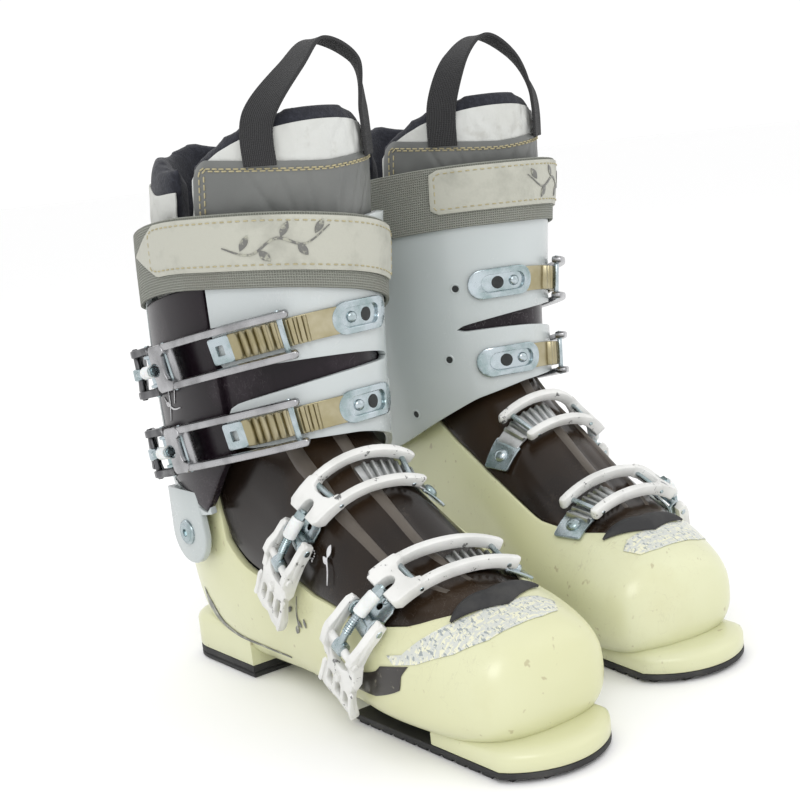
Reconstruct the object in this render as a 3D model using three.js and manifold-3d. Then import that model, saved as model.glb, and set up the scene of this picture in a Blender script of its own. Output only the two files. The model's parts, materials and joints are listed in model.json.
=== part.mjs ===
// A pair of four-buckle alpine ski boots, standing side by side with every buckle closed.
// Millimetres, +Z up. The toes point to -Y, and the wearer's right boot stands on the -X side.
// Each boot is built as a right boot in its own frame: x to the inner (medial) side, "forward" from the
// back of the heel to the toe, z up. The left boot is its mirror image.
import * as THREE from "three";
import { mergeVertices } from "three/addons/utils/BufferGeometryUtils.js";
import Module from "manifold-3d";

const wasm = await Module();
wasm.setup();

// ---------------------------------------------------------------- driving dimensions
const gap = 0.3; // between neighbours that touch
const sole = { length: 298, width: 69, noseRadius: 41.5 };
const toeLug = { back: 232, top: 15 };
const heelLug = { front: 74, low: 7, top: 26 };
const toeTread = { back: 168, height: 5 };
const shellWall = 4.5;
const shellFloor = 13; // shell bottom and boot board together
const bootieFoam = 5;
const cuffWall = 3.5;
const insertWall = 3.2;
const collarFoam = 11;
const pivot = { forward: 47, z: 84, headRadius: 7, headHeight: 2.2, shankRadius: 4.6 };
const ear = { inner: 44.2, outer: 48.6, radius: 18, top: 104 }; // the cuff's flat lobe round each ankle pivot
const openingCut = { forward: 3, z: 121, rise: 13 }; // the plane that ends the shell's top, in degrees
const right = { x: -72.3, forward: 131.4, yaw: 0 }; // where each boot's heel centre stands, and its turn
const left = { x: 79.7, forward: 155.4, yaw: -6 };

// ---------------------------------------------------------------- profiles
// Rings of the lower shell from toe to ankle: a top and a bottom point in the middle plane (forward, z),
// the half width, the shift to the inner side, and how square the lower half is (1 is an ellipse).
const shellStations = [
  { top: [283, 37.5], bottom: [283, 32.5], half: 4, shift: 3, square: 1 },
  { top: [281, 49], bottom: [282, 20], half: 20, shift: 3, square: 0.9 },
  { top: [277, 57], bottom: [279, 14], half: 31.5, shift: 3, square: 0.75 },
  { top: [268, 64], bottom: [271, 9.5], half: 39, shift: 3, square: 0.65 },
  { top: [250, 71], bottom: [253, 8], half: 45, shift: 2, square: 0.6 },
  { top: [229, 78], bottom: [231, 8], half: 47.5, shift: 0, square: 0.6 },
  { top: [206, 88], bottom: [207, 8], half: 48, shift: -1, square: 0.6 },
  { top: [185, 102], bottom: [184, 8], half: 46, shift: -1, square: 0.6 },
  { top: [166, 117], bottom: [155, 8], half: 43.5, shift: -1, square: 0.6 },
  { top: [152, 130], bottom: [120, 8], half: 41, shift: 0, square: 0.6 },
  { top: [141, 142], bottom: [85, 8], half: 40, shift: 0, square: 0.55 },
  { top: [134, 152], bottom: [50, 9], half: 39.5, shift: 0, square: 0.52 },
  { top: [130, 161], bottom: [20, 14], half: 40, shift: 0, square: 0.65 },
  { top: [127, 168], bottom: [2, 30], half: 40.5, shift: 0, square: 0.8 },
  { top: [125, 175], bottom: [-3, 54], half: 41, shift: 0, square: 0.85 },
  { top: [124, 181], bottom: [-1, 83], half: 41.5, shift: 0, square: 0.95 },
  { top: [124, 186], bottom: [4, 112], half: 42, shift: 0, square: 1 },
  { top: [125, 191], bottom: [11, 138], half: 42.5, shift: 0, square: 1 },
];
// Rings of the cuff's inner face, which the liner collar and the tongue follow on upwards.
// top is the front of the shin, bottom the back of the calf.
const cuffStations = [
  { top: [150, 110], bottom: [-6, 82], half: 44.5 },
  { top: [150, 136], bottom: [-8, 105], half: 47 },
  { top: [149.5, 161], bottom: [-8, 130], half: 49 },
  { top: [149.5, 185], bottom: [-6, 154], half: 51 },
  { top: [150.5, 210], bottom: [-3, 179], half: 53 },
  { top: [152, 234], bottom: [2, 204], half: 55 },
  { top: [154.5, 257], bottom: [6, 229], half: 56.5 },
  { top: [157, 276], bottom: [10, 252], half: 57 },
  { top: [158.5, 294], bottom: [12, 272], half: 56 },
  { top: [158.5, 312], bottom: [9, 293], half: 53 },
];
// The cuff's lower and upper edge: ring number against the angle round from the front, inner side first.
const cuffLowEdge = [[-66, 1.34], [-30, 1.27], [0, 1.18], [30, 0.98], [58, 0.62], [86, 0.2], [108, 0.05],
  [136, 0.4], [180, 0.8], [216, 0.5], [234, 0.1], [252, 0.1]];
const cuffHighEdge = [[-66, 5.4], [0, 5.5], [60, 5.9], [110, 6.2], [180, 6.3], [235, 6.1], [252, 5.9]];
// The insert's lower edge comes to a point low on the outer side.
const insertLowEdge = [[-118, 0.98], [-91, 0.2], [-79, 0.75], [-67, 1.31]];
// The power strap's middle: ring number against the angle. The right boot's has slid down at the front.
const strapLine = {
  right: [[-180, 5.6], [-90, 5.85], [0, 4.95], [75, 4.4], [180, 5.6]],
  left: [[-180, 6.1], [-90, 5.8], [0, 5.7], [100, 6.1], [180, 6.1]],
};
// Half angles of the window in the shell's top that the instep cover fills, by ring number.
const windowInner = [[4.3, 24], [4.9, 38], [6, 50], [8, 58], [10, 61], [12, 61], [14, 57], [17, 50]];
const windowOuter = [[4.3, 32], [4.9, 52], [6, 72], [8, 86], [10, 92], [12, 91], [14, 82], [17, 74]];

// ---------------------------------------------------------------- solids
function solid(geometry) {
  const bare = geometry.clone();
  bare.deleteAttribute("normal");
  bare.deleteAttribute("uv");
  const merged = mergeVertices(bare, 1e-4);
  return new wasm.Manifold(new wasm.Mesh({
    numProp: 3,
    vertProperties: merged.attributes.position.array,
    triVerts: new Uint32Array(merged.index.array),
  }));
}

function geometryOf(manifold) {
  const mesh = manifold.getMesh();
  return new THREE.BufferGeometry()
    .setAttribute("position", new THREE.BufferAttribute(mesh.vertProperties, 3))
    .setIndex(new THREE.BufferAttribute(mesh.triVerts, 1));
}

const place = (x, forward, z) => new THREE.Vector3(x, -forward, z);
const radians = THREE.MathUtils.degToRad;
const joined = (...solids) => solids.reduce((all, next) => all.add(next));

// A closed solid from points and triangles, turned so that its faces point out.
function closed(points, triangles) {
  let volume = 0;
  for (const [a, b, c] of triangles) {
    volume += points[a].dot(new THREE.Vector3().crossVectors(points[b], points[c]));
  }
  const index = volume < 0 ? triangles.flatMap(([a, b, c]) => [a, c, b]) : triangles.flat();
  return solid(new THREE.BufferGeometry().setFromPoints(points).setIndex(index));
}

// A skin over closed rings of equal length, with flat ends.
function skin(rings) {
  const count = rings[0].length;
  const triangles = [];
  for (let i = 0; i + 1 < rings.length; i++) {
    for (let j = 0; j < count; j++) {
      const a = i * count + j;
      const b = i * count + (j + 1) % count;
      triangles.push([a, b, b + count], [a, b + count, a + count]);
    }
  }
  const last = (rings.length - 1) * count;
  for (let j = 1; j + 1 < count; j++) {
    triangles.push([0, j + 1, j], [last, last + j, last + j + 1]);
  }
  return closed(rings.flat(), triangles);
}

// A straight lookup in a list of [position, value] pairs.
function lookup(pairs, position) {
  if (position <= pairs[0][0]) return pairs[0][1];
  for (let i = 1; i < pairs.length; i++) {
    const [p0, v0] = pairs[i - 1];
    const [p1, v1] = pairs[i];
    if (position <= p1) return v0 + (v1 - v0) * (position - p0) / (p1 - p0);
  }
  return pairs.at(-1)[1];
}

// ---------------------------------------------------------------- surfaces
// point(t, angle): t is the ring number, and the angle in degrees runs from the top or front inwards.
function ringSurface(stations) {
  const curve = (pick) => new THREE.SplineCurve(stations.map((s) => new THREE.Vector2(...pick(s))));
  const top = curve((s) => s.top);
  const bottom = curve((s) => s.bottom);
  const sides = curve((s) => [s.half, s.shift ?? 0]);
  const squares = curve((s) => [s.square ?? 1, 0]);
  const power = (value, exponent) => Math.sign(value) * Math.abs(value) ** exponent;
  const point = (t, angle) => {
    const share = t / (stations.length - 1);
    const a = top.getPoint(share);
    const b = bottom.getPoint(share);
    const { x: half, y: shift } = sides.getPoint(share);
    const c = Math.cos(radians(angle));
    const exponent = c < 0 ? squares.getPoint(share).x : 0.95;
    const middle = a.clone().add(b).multiplyScalar(0.5);
    const on = middle.add(a.clone().sub(b).multiplyScalar(0.5 * power(c, exponent)));
    return place(shift + half * power(Math.sin(radians(angle)), exponent), on.x, on.y);
  };
  const normal = (t, angle) => {
    const low = Math.max(0, t - 0.05);
    const high = Math.min(stations.length - 1, t + 0.05);
    const along = point(high, angle).sub(point(low, angle));
    const round = point(t, angle + 0.5).sub(point(t, angle - 0.5));
    return new THREE.Vector3().crossVectors(round, along).normalize();
  };
  const above = (t, angle, height) => point(t, angle).addScaledVector(normal(t, angle), height);
  return { point, normal, above };
}

// The same rings moved inwards, which gives the inside of a wall.
function inset(stations, wall, floor) {
  return stations.map((s) => {
    const from = new THREE.Vector2(...s.top);
    const to = new THREE.Vector2(...s.bottom);
    const along = to.clone().sub(from).normalize();
    return {
      ...s,
      top: from.addScaledVector(along, wall).toArray(),
      bottom: to.addScaledVector(along, -(s.bottom[1] < 12 ? floor : wall)).toArray(),
      half: s.half - wall,
    };
  });
}

// A closed body inside a ring surface, from ring t0 to ring t1.
function core(stations, t0, t1, rows, columns) {
  const surface = ringSurface(stations);
  const rings = Array.from({ length: rows + 1 }, (_, i) =>
    Array.from({ length: columns }, (_, j) => surface.point(t0 + (t1 - t0) * i / rows, 360 * j / columns)));
  return skin(rings);
}

// A slab on a surface between two heights above it: at(u, v) gives ring and angle for u and v from 0 to 1.
function slab(surface, at, rows, columns, low, high, closedRound = false) {
  const span = closedRound ? columns : columns + 1;
  const points = [];
  for (const height of [low, high]) {
    for (let i = 0; i <= rows; i++) {
      for (let j = 0; j < span; j++) points.push(surface.above(...at(i / rows, j / columns), height));
    }
  }
  const half = (rows + 1) * span;
  const id = (layer, i, j) => layer * half + i * span + j % span;
  const triangles = [];
  const quad = (a, b, c, d) => triangles.push([a, b, c], [a, c, d]);
  for (let j = 0; j < columns; j++) {
    for (let i = 0; i < rows; i++) {
      quad(id(0, i, j), id(0, i, j + 1), id(0, i + 1, j + 1), id(0, i + 1, j));
      quad(id(1, i, j), id(1, i + 1, j), id(1, i + 1, j + 1), id(1, i, j + 1));
    }
    quad(id(0, 0, j), id(1, 0, j), id(1, 0, j + 1), id(0, 0, j + 1));
    quad(id(0, rows, j), id(0, rows, j + 1), id(1, rows, j + 1), id(1, rows, j));
  }
  for (let i = 0; i < rows && !closedRound; i++) {
    quad(id(0, i, 0), id(0, i + 1, 0), id(1, i + 1, 0), id(1, i, 0));
    quad(id(0, i, columns), id(1, i, columns), id(1, i + 1, columns), id(0, i + 1, columns));
  }
  return closed(points, triangles);
}

const shellSurface = ringSurface(shellStations);
const cuffSurface = ringSurface(cuffStations);

// A path on a surface through three [ring, angle] spots, in millimetres from the middle one, a hinge.
// base is how high above the surface the path's own ground is.
function pathOn({ surface, base, tail, hinge, end }) {
  const steps = 48;
  const line = new THREE.SplineCurve([tail, hinge, end].map((spot) => new THREE.Vector2(...spot)));
  const samples = Array.from({ length: steps + 1 }, (_, i) => {
    const { x: t, y: angle } = line.getPoint(i / steps);
    return { point: surface.above(t, angle, base), out: surface.normal(t, angle), s: 0 };
  });
  for (let i = 1; i <= steps; i++) {
    samples[i].s = samples[i - 1].s + samples[i].point.distanceTo(samples[i - 1].point);
  }
  const zero = samples[steps / 2].s;
  const frame = (s) => {
    const found = samples.findIndex((sample) => sample.s - zero >= s);
    const i = found < 0 ? steps : Math.max(1, found);
    const [a, b] = [samples[i - 1], samples[i]];
    const share = (s + zero - a.s) / (b.s - a.s);
    const along = b.point.clone().sub(a.point).normalize();
    const out = a.out.clone().lerp(b.out, share).normalize();
    const side = new THREE.Vector3().crossVectors(along, out).normalize();
    return { point: a.point.clone().lerp(b.point, share), out, side, along };
  };
  const at = (s, side, height) => {
    const f = frame(s);
    return f.point.addScaledVector(f.side, side).addScaledVector(f.out, height);
  };
  return { frame, at, end: samples[steps].s - zero };
}

// A bar along a path: from and to in millimetres, two sides, and a height range.
function bar(path, from, to, sideA, sideB, low, high, steps = 1) {
  const rings = Array.from({ length: steps + 1 }, (_, i) => {
    const s = from + (to - from) * i / steps;
    return [[sideA, low], [sideB, low], [sideB, high], [sideA, high]].map(([w, h]) => path.at(s, w, h));
  });
  return skin(rings);
}

// A round pin across a path.
function pin(path, s, height, halfLength, radius, facets = 8) {
  const { side } = path.frame(s);
  const turn = new THREE.Quaternion().setFromUnitVectors(new THREE.Vector3(0, 1, 0), side);
  const matrix = new THREE.Matrix4().compose(path.at(s, 0, height), turn, new THREE.Vector3(1, 1, 1));
  return solid(new THREE.CylinderGeometry(radius, radius, 2 * halfLength, facets).applyMatrix4(matrix));
}

// ---------------------------------------------------------------- sole and lower shell
// The outline of the sole's front end: straight sides and the wide arc that a binding holds.
function soleOutline(back, front = sole.length) {
  const half = sole.width / 2;
  const radius = sole.noseRadius;
  const reach = Math.asin((half - 3) / radius);
  const points = [new THREE.Vector2(half, -back)];
  points.push(new THREE.Vector2(half, -(front - radius + radius * Math.cos(reach) - 4)));
  const steps = 10;
  for (let i = 0; i <= steps; i++) {
    const angle = reach - 2 * reach * i / steps;
    points.push(new THREE.Vector2(radius * Math.sin(angle), -(front - radius + radius * Math.cos(angle))));
  }
  points.push(new THREE.Vector2(-half, points[1].y), new THREE.Vector2(-half, -back));
  return new THREE.Shape(points.reverse());
}

function heelOutline(front) {
  const half = sole.width / 2;
  const corner = 22;
  const shape = new THREE.Shape();
  shape.moveTo(-half, -front);
  shape.lineTo(half, -front);
  shape.lineTo(half, -corner);
  shape.absarc(half - corner, -corner, corner, 0, Math.PI / 2, false);
  shape.absarc(-half + corner, -corner, corner, Math.PI / 2, Math.PI, false);
  return shape;
}

function plate(shape, low, high, curveSegments = 4) {
  const depth = high - low;
  const geometry = new THREE.ExtrudeGeometry(shape, { depth, bevelEnabled: false, curveSegments });
  return solid(geometry.translate(0, 0, low));
}

// Everything above the slanted plane that ends the shell, moved up by lift.
function aboveOpening(lift) {
  const size = 400;
  const block = new THREE.BoxGeometry(size, size, size).translate(0, 0, size / 2);
  block.applyMatrix4(new THREE.Matrix4().makeRotationX(-radians(openingCut.rise)));
  return solid(block.translate(0, -openingCut.forward, openingCut.z + lift));
}

function windowSlab(margin, low, high, rows, columns) {
  const first = windowOuter[0][0] - 0.07 * margin;
  return slab(shellSurface, (u, v) => {
    const t = first + (shellStations.length - 1 - first) * u;
    const outer = lookup(windowOuter, t) + margin;
    return [t, -outer + (outer + lookup(windowInner, t) + margin) * v];
  }, rows, columns, low, high);
}

function lowerShell() {
  const cavity = core(inset(shellStations, shellWall, shellFloor), 2, 17, 12, 16);
  const body = core(shellStations, 0, 17, 17, 20);
  return joined(
    body,
    plate(soleOutline(toeLug.back), toeTread.height + gap, toeLug.top),
    plate(heelOutline(heelLug.front), heelLug.low + gap, heelLug.top),
  )
    .subtract(cavity)
    .subtract(windowSlab(0, -9, 6, 11, 8))
    .subtract(plate(soleOutline(toeTread.back - 1, sole.length + 2), -5, toeTread.height + gap))
    .subtract(plate(heelOutline(heelLug.front + 1), -5, heelLug.low + gap))
    .subtract(pivotShank(1, pivot.shankRadius + gap))
    .subtract(pivotShank(-1, pivot.shankRadius + gap))
    .subtract(aboveOpening(0));
}

function instepCover() {
  return windowSlab(-0.9, -4, -0.3, 11, 8).subtract(aboveOpening(0));
}

// The rubber seal that closes the cover's front end over the toes.
function toeBumper() {
  const front = windowOuter[0][0];
  return slab(shellSurface, (u, v) => {
    const half = 31 - 12 * u;
    return [front - 0.8 + 1.1 * u, -4 + half * (2 * v - 1)];
  }, 3, 6, 0.6, 3.2);
}

// ---------------------------------------------------------------- ankle pivots
function turned(profile, side, x) {
  const geometry = new THREE.LatheGeometry(profile.map(([r, h]) => new THREE.Vector2(r, h)), 16);
  geometry.rotateZ(side > 0 ? -Math.PI / 2 : Math.PI / 2);
  return solid(geometry.translate(side * x, -pivot.forward, pivot.z));
}

function pivotShank(side, radius) {
  return turned([[0, -14], [radius, -14], [radius, 10], [0, 10]], side, ear.inner);
}

function anklePivot(side) {
  const head = ear.outer + gap;
  const { shankRadius, headRadius, headHeight } = pivot;
  return turned([[0, 36], [shankRadius, 36], [shankRadius, head], [headRadius, head],
    [headRadius - 1.4, head + headHeight], [0, head + headHeight]], side, 0);
}

// ---------------------------------------------------------------- cuff
// The flat lobe at the ankle, which reaches down over the pivot.
function cuffEar(side) {
  const { forward, z } = pivot;
  const shape = new THREE.Shape();
  shape.moveTo(forward - ear.radius, ear.top);
  shape.absarc(forward, z, ear.radius, Math.PI, 2 * Math.PI, false);
  shape.lineTo(forward + ear.radius - 12, ear.top);
  const depth = ear.outer - ear.inner;
  const geometry = new THREE.ExtrudeGeometry(shape, { depth, bevelEnabled: false, curveSegments: 8 });
  geometry.rotateX(Math.PI / 2).rotateZ(-Math.PI / 2);
  return solid(geometry.translate(side > 0 ? ear.outer : -ear.inner, 0, 0));
}

function cuff() {
  const start = -66;
  const end = 240;
  const wrap = slab(cuffSurface, (u, v) => {
    const angle = start + (end - start) * v;
    const low = lookup(cuffLowEdge, angle);
    return [low + (lookup(cuffHighEdge, angle) - low) * u, angle];
  }, 5, 22, 0, cuffWall);
  const wing = slab(cuffSurface, (u, v) => {
    const angle = 231.3 + 40.8 * v;
    return [(lookup(insertLowEdge, angle - 360) - 0.05) * u, angle];
  }, 2, 4, 0, cuffWall);
  const slot = slab(cuffSurface, (u, v) => {
    const angle = -80 + 114 * v; // opens from a point on the inner side to the flap's edge
    const half = 0.07 + 0.36 * (1 - v);
    return [2.66 + half * (2 * u - 1), angle];
  }, 1, 7, -2, cuffWall + 2);
  return joined(wrap.subtract(slot), wing, cuffEar(1), cuffEar(-1))
    .subtract(pivotShank(1, pivot.shankRadius + gap))
    .subtract(pivotShank(-1, pivot.shankRadius + gap));
}

function cuffInsert() {
  const back = -insertWall - 2 * gap;
  const under = slab(cuffSurface, (u, v) => [1.45 + 3.45 * u, -127 + 87 * v], 4, 6, back, -3 * gap);
  const lining = slab(cuffSurface, (u, v) => [2 + 1.4 * u, -46 + 78 * v], 1, 6, -3.2, -1.2);
  const face = slab(cuffSurface, (u, v) => {
    const angle = -118.5 + 51 * v;
    const low = lookup(insertLowEdge, angle);
    return [low + (4.9 - low) * u, angle];
  }, 5, 5, -1.8, insertWall);
  return joined(under, lining, face);
}

// ---------------------------------------------------------------- liner
function linerBootie() {
  const slack = 3.4;
  const outer = core(inset(shellStations, shellWall + slack, shellFloor + slack), 2.4, 16.8, 10, 12);
  const foam = slack + bootieFoam;
  const inner = core(inset(shellStations, shellWall + foam, shellFloor + foam), 3.1, 17, 9, 10);
  return outer.subtract(inner).subtract(aboveOpening(-3));
}

function linerCollar() {
  const start = 84;
  const end = 276;
  return slab(cuffSurface, (u, v) => {
    const angle = start + (end - start) * v;
    const high = 8 + 0.9 * Math.sin(Math.PI * v);
    return [1.95 + (high - 1.95) * u, angle];
  }, 5, 12, -4.8 - collarFoam, -4.8);
}

function tongue() {
  return slab(cuffSurface, (u, v) => [1.95 + (8.7 - 0.9 * (2 * v - 1) ** 4 - 1.95) * u, 80 * (2 * v - 1)],
    6, 8, -4.8 - collarFoam, -4.8);
}

function pullLoop() {
  const clear = -2.2;
  const { above, point } = cuffSurface;
  const roots = [-36, 36];
  const [rootA, rootB] = roots.map((angle) => above(7.2, angle, clear));
  const [backA, backB] = roots.map((angle) => above(8.45, angle, clear));
  const [alongA, alongB] = roots.map((angle) => point(7, angle * 0.9).sub(point(7, angle * 1.1)).normalize());
  const path = new THREE.CatmullRomCurve3([
    rootA,
    backA,
    backA.clone().lerp(backB, 0.22).add(place(0, 3, 24)),
    backA.clone().lerp(backB, 0.5).add(place(0, 0, 35)),
    backB.clone().lerp(backA, 0.22).add(place(0, 3, 24)),
    backB,
    rootB,
  ]);
  const half = { width: 9, thick: 0.9 };
  const steps = 18;
  const rings = Array.from({ length: steps + 1 }, (_, i) => {
    const u = i / steps;
    const along = path.getTangent(u);
    const lift = Math.min(1, Math.max(0, 3 * Math.min(u, 1 - u) - 0.5));
    const broad = (u < 0.5 ? alongA : alongB).clone().lerp(place(0, 1, 0), lift);
    broad.addScaledVector(along, -broad.dot(along)).normalize();
    const thin = new THREE.Vector3().crossVectors(along, broad);
    return [[-1, -1], [1, -1], [1, 1], [-1, 1]].map(([a, b]) =>
      path.getPoint(u).addScaledVector(broad, a * half.width).addScaledVector(thin, b * half.thick));
  });
  return skin(rings);
}

// Webbing round the top of the cuff, with the stitched patch on its overlapping end.
function powerStrap(boot) {
  const low = cuffWall + 2 * gap;
  const middle = (angle) => lookup(strapLine[boot], angle);
  const webbing = slab(cuffSurface, (u, v) => {
    const angle = 360 * v - 180;
    return [middle(angle) + 0.8 * (2 * u - 1), angle];
  }, 1, 28, low, low + 2, true);
  const patch = slab(cuffSurface, (u, v) => {
    const angle = -108 + 150 * v;
    const tip = Math.min(1, 0.15 + 8 * v, 0.15 + 8 * (1 - v));
    return [middle(angle) + 0.1 + 0.62 * tip * (2 * u - 1), angle];
  }, 1, 14, low + 1, low + 3.6);
  return webbing.add(patch);
}

// ---------------------------------------------------------------- buckles
// Heights are above the ground that the bracket and the ladder stand on.
const buckle = {
  hingeHeight: 6, hingeRadius: 1.6, bailPinBack: 15, bailPinHeight: 9.5, bailPinRadius: 1.5,
  earInner: 5.2, earOuter: 8.8, cheekInner: 9.2, cheekOuter: 13.6,
  railInner: 7.8, railOuter: 12.2, railLow: 4.2, railHigh: 9.6,
  ladderHalf: 6.4, pitch: 6.4, toothTop: 4.6, hookRadius: 1.3,
};

function bracket(path) {
  const k = buckle;
  const ears = [-1, 1].map((side) => bar(path, -3.4, 3.4, side * k.earInner, side * k.earOuter, 1, 8.8));
  return joined(bar(path, -8, 13, -8, 8, 2 * gap, 1.7, 2), ...ears,
    pin(path, 0, k.hingeHeight, k.cheekOuter - 0.4, k.hingeRadius));
}

function lever(path, length) {
  const k = buckle;
  const cheeks = [-1, 1].flatMap((side) => [
    bar(path, 2.6, -5, side * k.cheekInner, side * k.cheekOuter, 3.1, 8.9),
    bar(path, -4.5, -30, side * k.cheekInner, side * k.cheekOuter, 3.4, 12, 2),
  ]);
  const tail = bar(path, -28, -length, -k.cheekOuter, k.cheekOuter, 4, 10, 3);
  const slot = bar(path, -length + 7, -length + 15, -5, 5, 0, 20);
  const bailPin = pin(path, -k.bailPinBack, k.bailPinHeight, k.cheekOuter - 0.6, k.bailPinRadius);
  return joined(tail, ...cheeks, bailPin)
    .subtract(slot)
    .subtract(pin(path, 0, k.hingeHeight, 20, k.hingeRadius + gap));
}

// The frame that hooks the ladder, with its adjusting screw and the eye that turns on the lever's pin.
function bail(path, reach) {
  const k = buckle;
  const rails = [-1, 1].map((side) => bar(path, 16, reach + 3.5, side * k.railInner, side * k.railOuter,
    k.railLow, k.railHigh, 5));
  const sleeve = joined(
    bar(path, -18.6, -9, -3.2, 3.2, 6.4, 12.8),
    bar(path, -10, 14, -2.6, 2.6, 8.6, 12.6, 2),
  ).subtract(pin(path, -k.bailPinBack, k.bailPinHeight, 20, k.bailPinRadius + gap));
  const hook = k.toothTop + k.hookRadius + 2 * gap;
  return joined(sleeve, bar(path, 12, 19, -k.railOuter, k.railOuter, 5.5, 12.6), ...rails,
    pin(path, reach, hook, k.railOuter - 1, k.hookRadius, 6));
}

function ladder(path, reach, length) {
  const k = buckle;
  const back = reach - length;
  const steps = Math.ceil((path.end - back) / 14);
  const base = bar(path, back, path.end, -k.ladderHalf, k.ladderHalf, 1, 2.3, steps);
  const count = Math.floor(length / k.pitch);
  const teeth = Array.from({ length: count + 2 }, (_, i) => {
    const s = reach + (1.5 - i) * k.pitch;
    return bar(path, s - 1, s + 1, -k.ladderHalf + 0.3, k.ladderHalf - 0.3, 1.5, k.toothTop);
  });
  return joined(base, ...teeth);
}

// ---------------------------------------------------------------- materials
function finish(color, roughness, metalness = 0) {
  return new THREE.MeshStandardMaterial({ color, roughness, metalness });
}

const materials = {
  creamShell: finish(0xdcdcb4, 0.35),
  smokedFlap: finish(0x2b221c, 0.3),
  blackRubber: finish(0x1b1b1d, 0.75),
  pearlCuff: finish(0xc9d0d0, 0.35),
  darkInsert: finish(0x1e171b, 0.4),
  whiteEnamel: finish(0xe9e9e4, 0.35),
  polishedAlloy: finish(0x9a9a9c, 0.3, 0.9),
  zincSteel: finish(0xb9c2c4, 0.3, 0.95),
  brassLadder: finish(0xa39b74, 0.35, 0.8),
  silverLadder: finish(0xc4c6c6, 0.3, 0.85),
  linerLeather: finish(0xd9dcd4, 0.6),
  blackFleece: finish(0x14151c, 0.95),
  blackWebbing: finish(0x151414, 0.85),
  greyWebbing: finish(0x84867a, 0.85),
};

// Each buckle: three [ring, angle] spots on its surface (the lever's tail, the hinge, the ladder's end), how
// far the bail's hook is from the hinge, and the toothed length behind the hook.
const buckles = {
  toe: { surface: shellSurface, base: 0, tail: [7.2, -126], hinge: [5.85, -64], end: [5.05, 46],
    reach: 71, teeth: 24, leverLength: 50, metal: "whiteEnamel", rack: "silverLadder" },
  instep: { surface: shellSurface, base: 0, tail: [10.2, -124], hinge: [8.6, -64], end: [7.9, 50],
    reach: 66, teeth: 24, leverLength: 50, metal: "whiteEnamel", rack: "silverLadder" },
  lower_cuff: { surface: cuffSurface, base: cuffWall, tail: [1.65, -172], hinge: [1.62, -103],
    end: [1.75, 26], reach: 96, teeth: 30, leverLength: 48, metal: "polishedAlloy", rack: "brassLadder" },
  upper_cuff: { surface: cuffSurface, base: cuffWall, tail: [3.5, -172], hinge: [3.45, -103],
    end: [3.6, 26], reach: 96, teeth: 30, leverLength: 48, metal: "polishedAlloy", rack: "brassLadder" },
};

function bootParts(boot) {
  const parts = {
    lower_shell: [lowerShell(), "creamShell"],
    instep_cover: [instepCover(), "smokedFlap"],
    toe_bumper: [toeBumper(), "blackRubber"],
    toe_sole: [plate(soleOutline(toeTread.back), 0, toeTread.height), "blackRubber"],
    heel_sole: [plate(heelOutline(heelLug.front), 0, heelLug.low), "blackRubber"],
    cuff: [cuff(), "pearlCuff"],
    cuff_insert: [cuffInsert(), "darkInsert"],
    inner_pivot: [anklePivot(1), "zincSteel"],
    outer_pivot: [anklePivot(-1), "zincSteel"],
    liner_bootie: [linerBootie(), "blackFleece"],
    liner_collar: [linerCollar(), "linerLeather"],
    tongue: [tongue(), "linerLeather"],
    pull_loop: [pullLoop(), "blackWebbing"],
    power_strap: [powerStrap(boot), "greyWebbing"],
  };
  for (const [name, b] of Object.entries(buckles)) {
    const path = pathOn(b);
    parts[name + "_bracket"] = [bracket(path), "zincSteel"];
    parts[name + "_lever"] = [lever(path, b.leverLength), b.metal];
    parts[name + "_bail"] = [bail(path, b.reach), b.metal];
    parts[name + "_ladder"] = [ladder(path, b.reach, b.teeth), b.rack];
  }
  return parts;
}

// ---------------------------------------------------------------- the pair
const pair = new THREE.Group();
for (const [side, spot] of [["right", right], ["left", left]]) {
  const boot = new THREE.Group();
  boot.position.set(spot.x, spot.forward, 0);
  boot.rotation.z = radians(spot.yaw);
  boot.scale.x = side === "left" ? -1 : 1;
  for (const [name, [body, material]] of Object.entries(bootParts(side))) {
    const mesh = new THREE.Mesh(geometryOf(body), materials[material]);
    mesh.name = `${side}_${name}`;
    boot.add(mesh);
  }
  pair.add(boot);
}

export default pair;
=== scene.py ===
import json
import math
import bmesh
import bpy
from mathutils import Matrix, Vector
from mathutils.bvhtree import BVHTree


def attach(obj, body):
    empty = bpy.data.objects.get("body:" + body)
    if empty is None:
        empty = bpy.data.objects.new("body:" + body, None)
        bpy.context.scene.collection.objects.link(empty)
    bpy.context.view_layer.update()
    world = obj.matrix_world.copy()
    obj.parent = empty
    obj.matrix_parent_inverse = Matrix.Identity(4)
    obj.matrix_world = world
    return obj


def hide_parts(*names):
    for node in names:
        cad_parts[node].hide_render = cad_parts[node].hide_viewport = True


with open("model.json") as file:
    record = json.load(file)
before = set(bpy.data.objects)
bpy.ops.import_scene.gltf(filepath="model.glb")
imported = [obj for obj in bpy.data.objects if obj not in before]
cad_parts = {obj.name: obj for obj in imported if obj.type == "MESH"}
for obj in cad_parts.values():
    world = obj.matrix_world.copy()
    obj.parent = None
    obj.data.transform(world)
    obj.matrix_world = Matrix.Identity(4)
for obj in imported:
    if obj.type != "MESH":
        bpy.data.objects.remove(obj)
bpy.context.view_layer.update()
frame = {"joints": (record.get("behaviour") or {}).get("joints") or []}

# A pair of alpine ski boots. Shapes are worked out in each boot's own frame, in millimetres: x to the inner
# side, y backwards from the toe's end to the heel, z up. The left boot is the right one mirrored.
# A spot on a boot is (ring, angle): rings are numbered along the shell or up the cuff, and the angle runs
# from the top or the front towards the inner side, in degrees.

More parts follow.
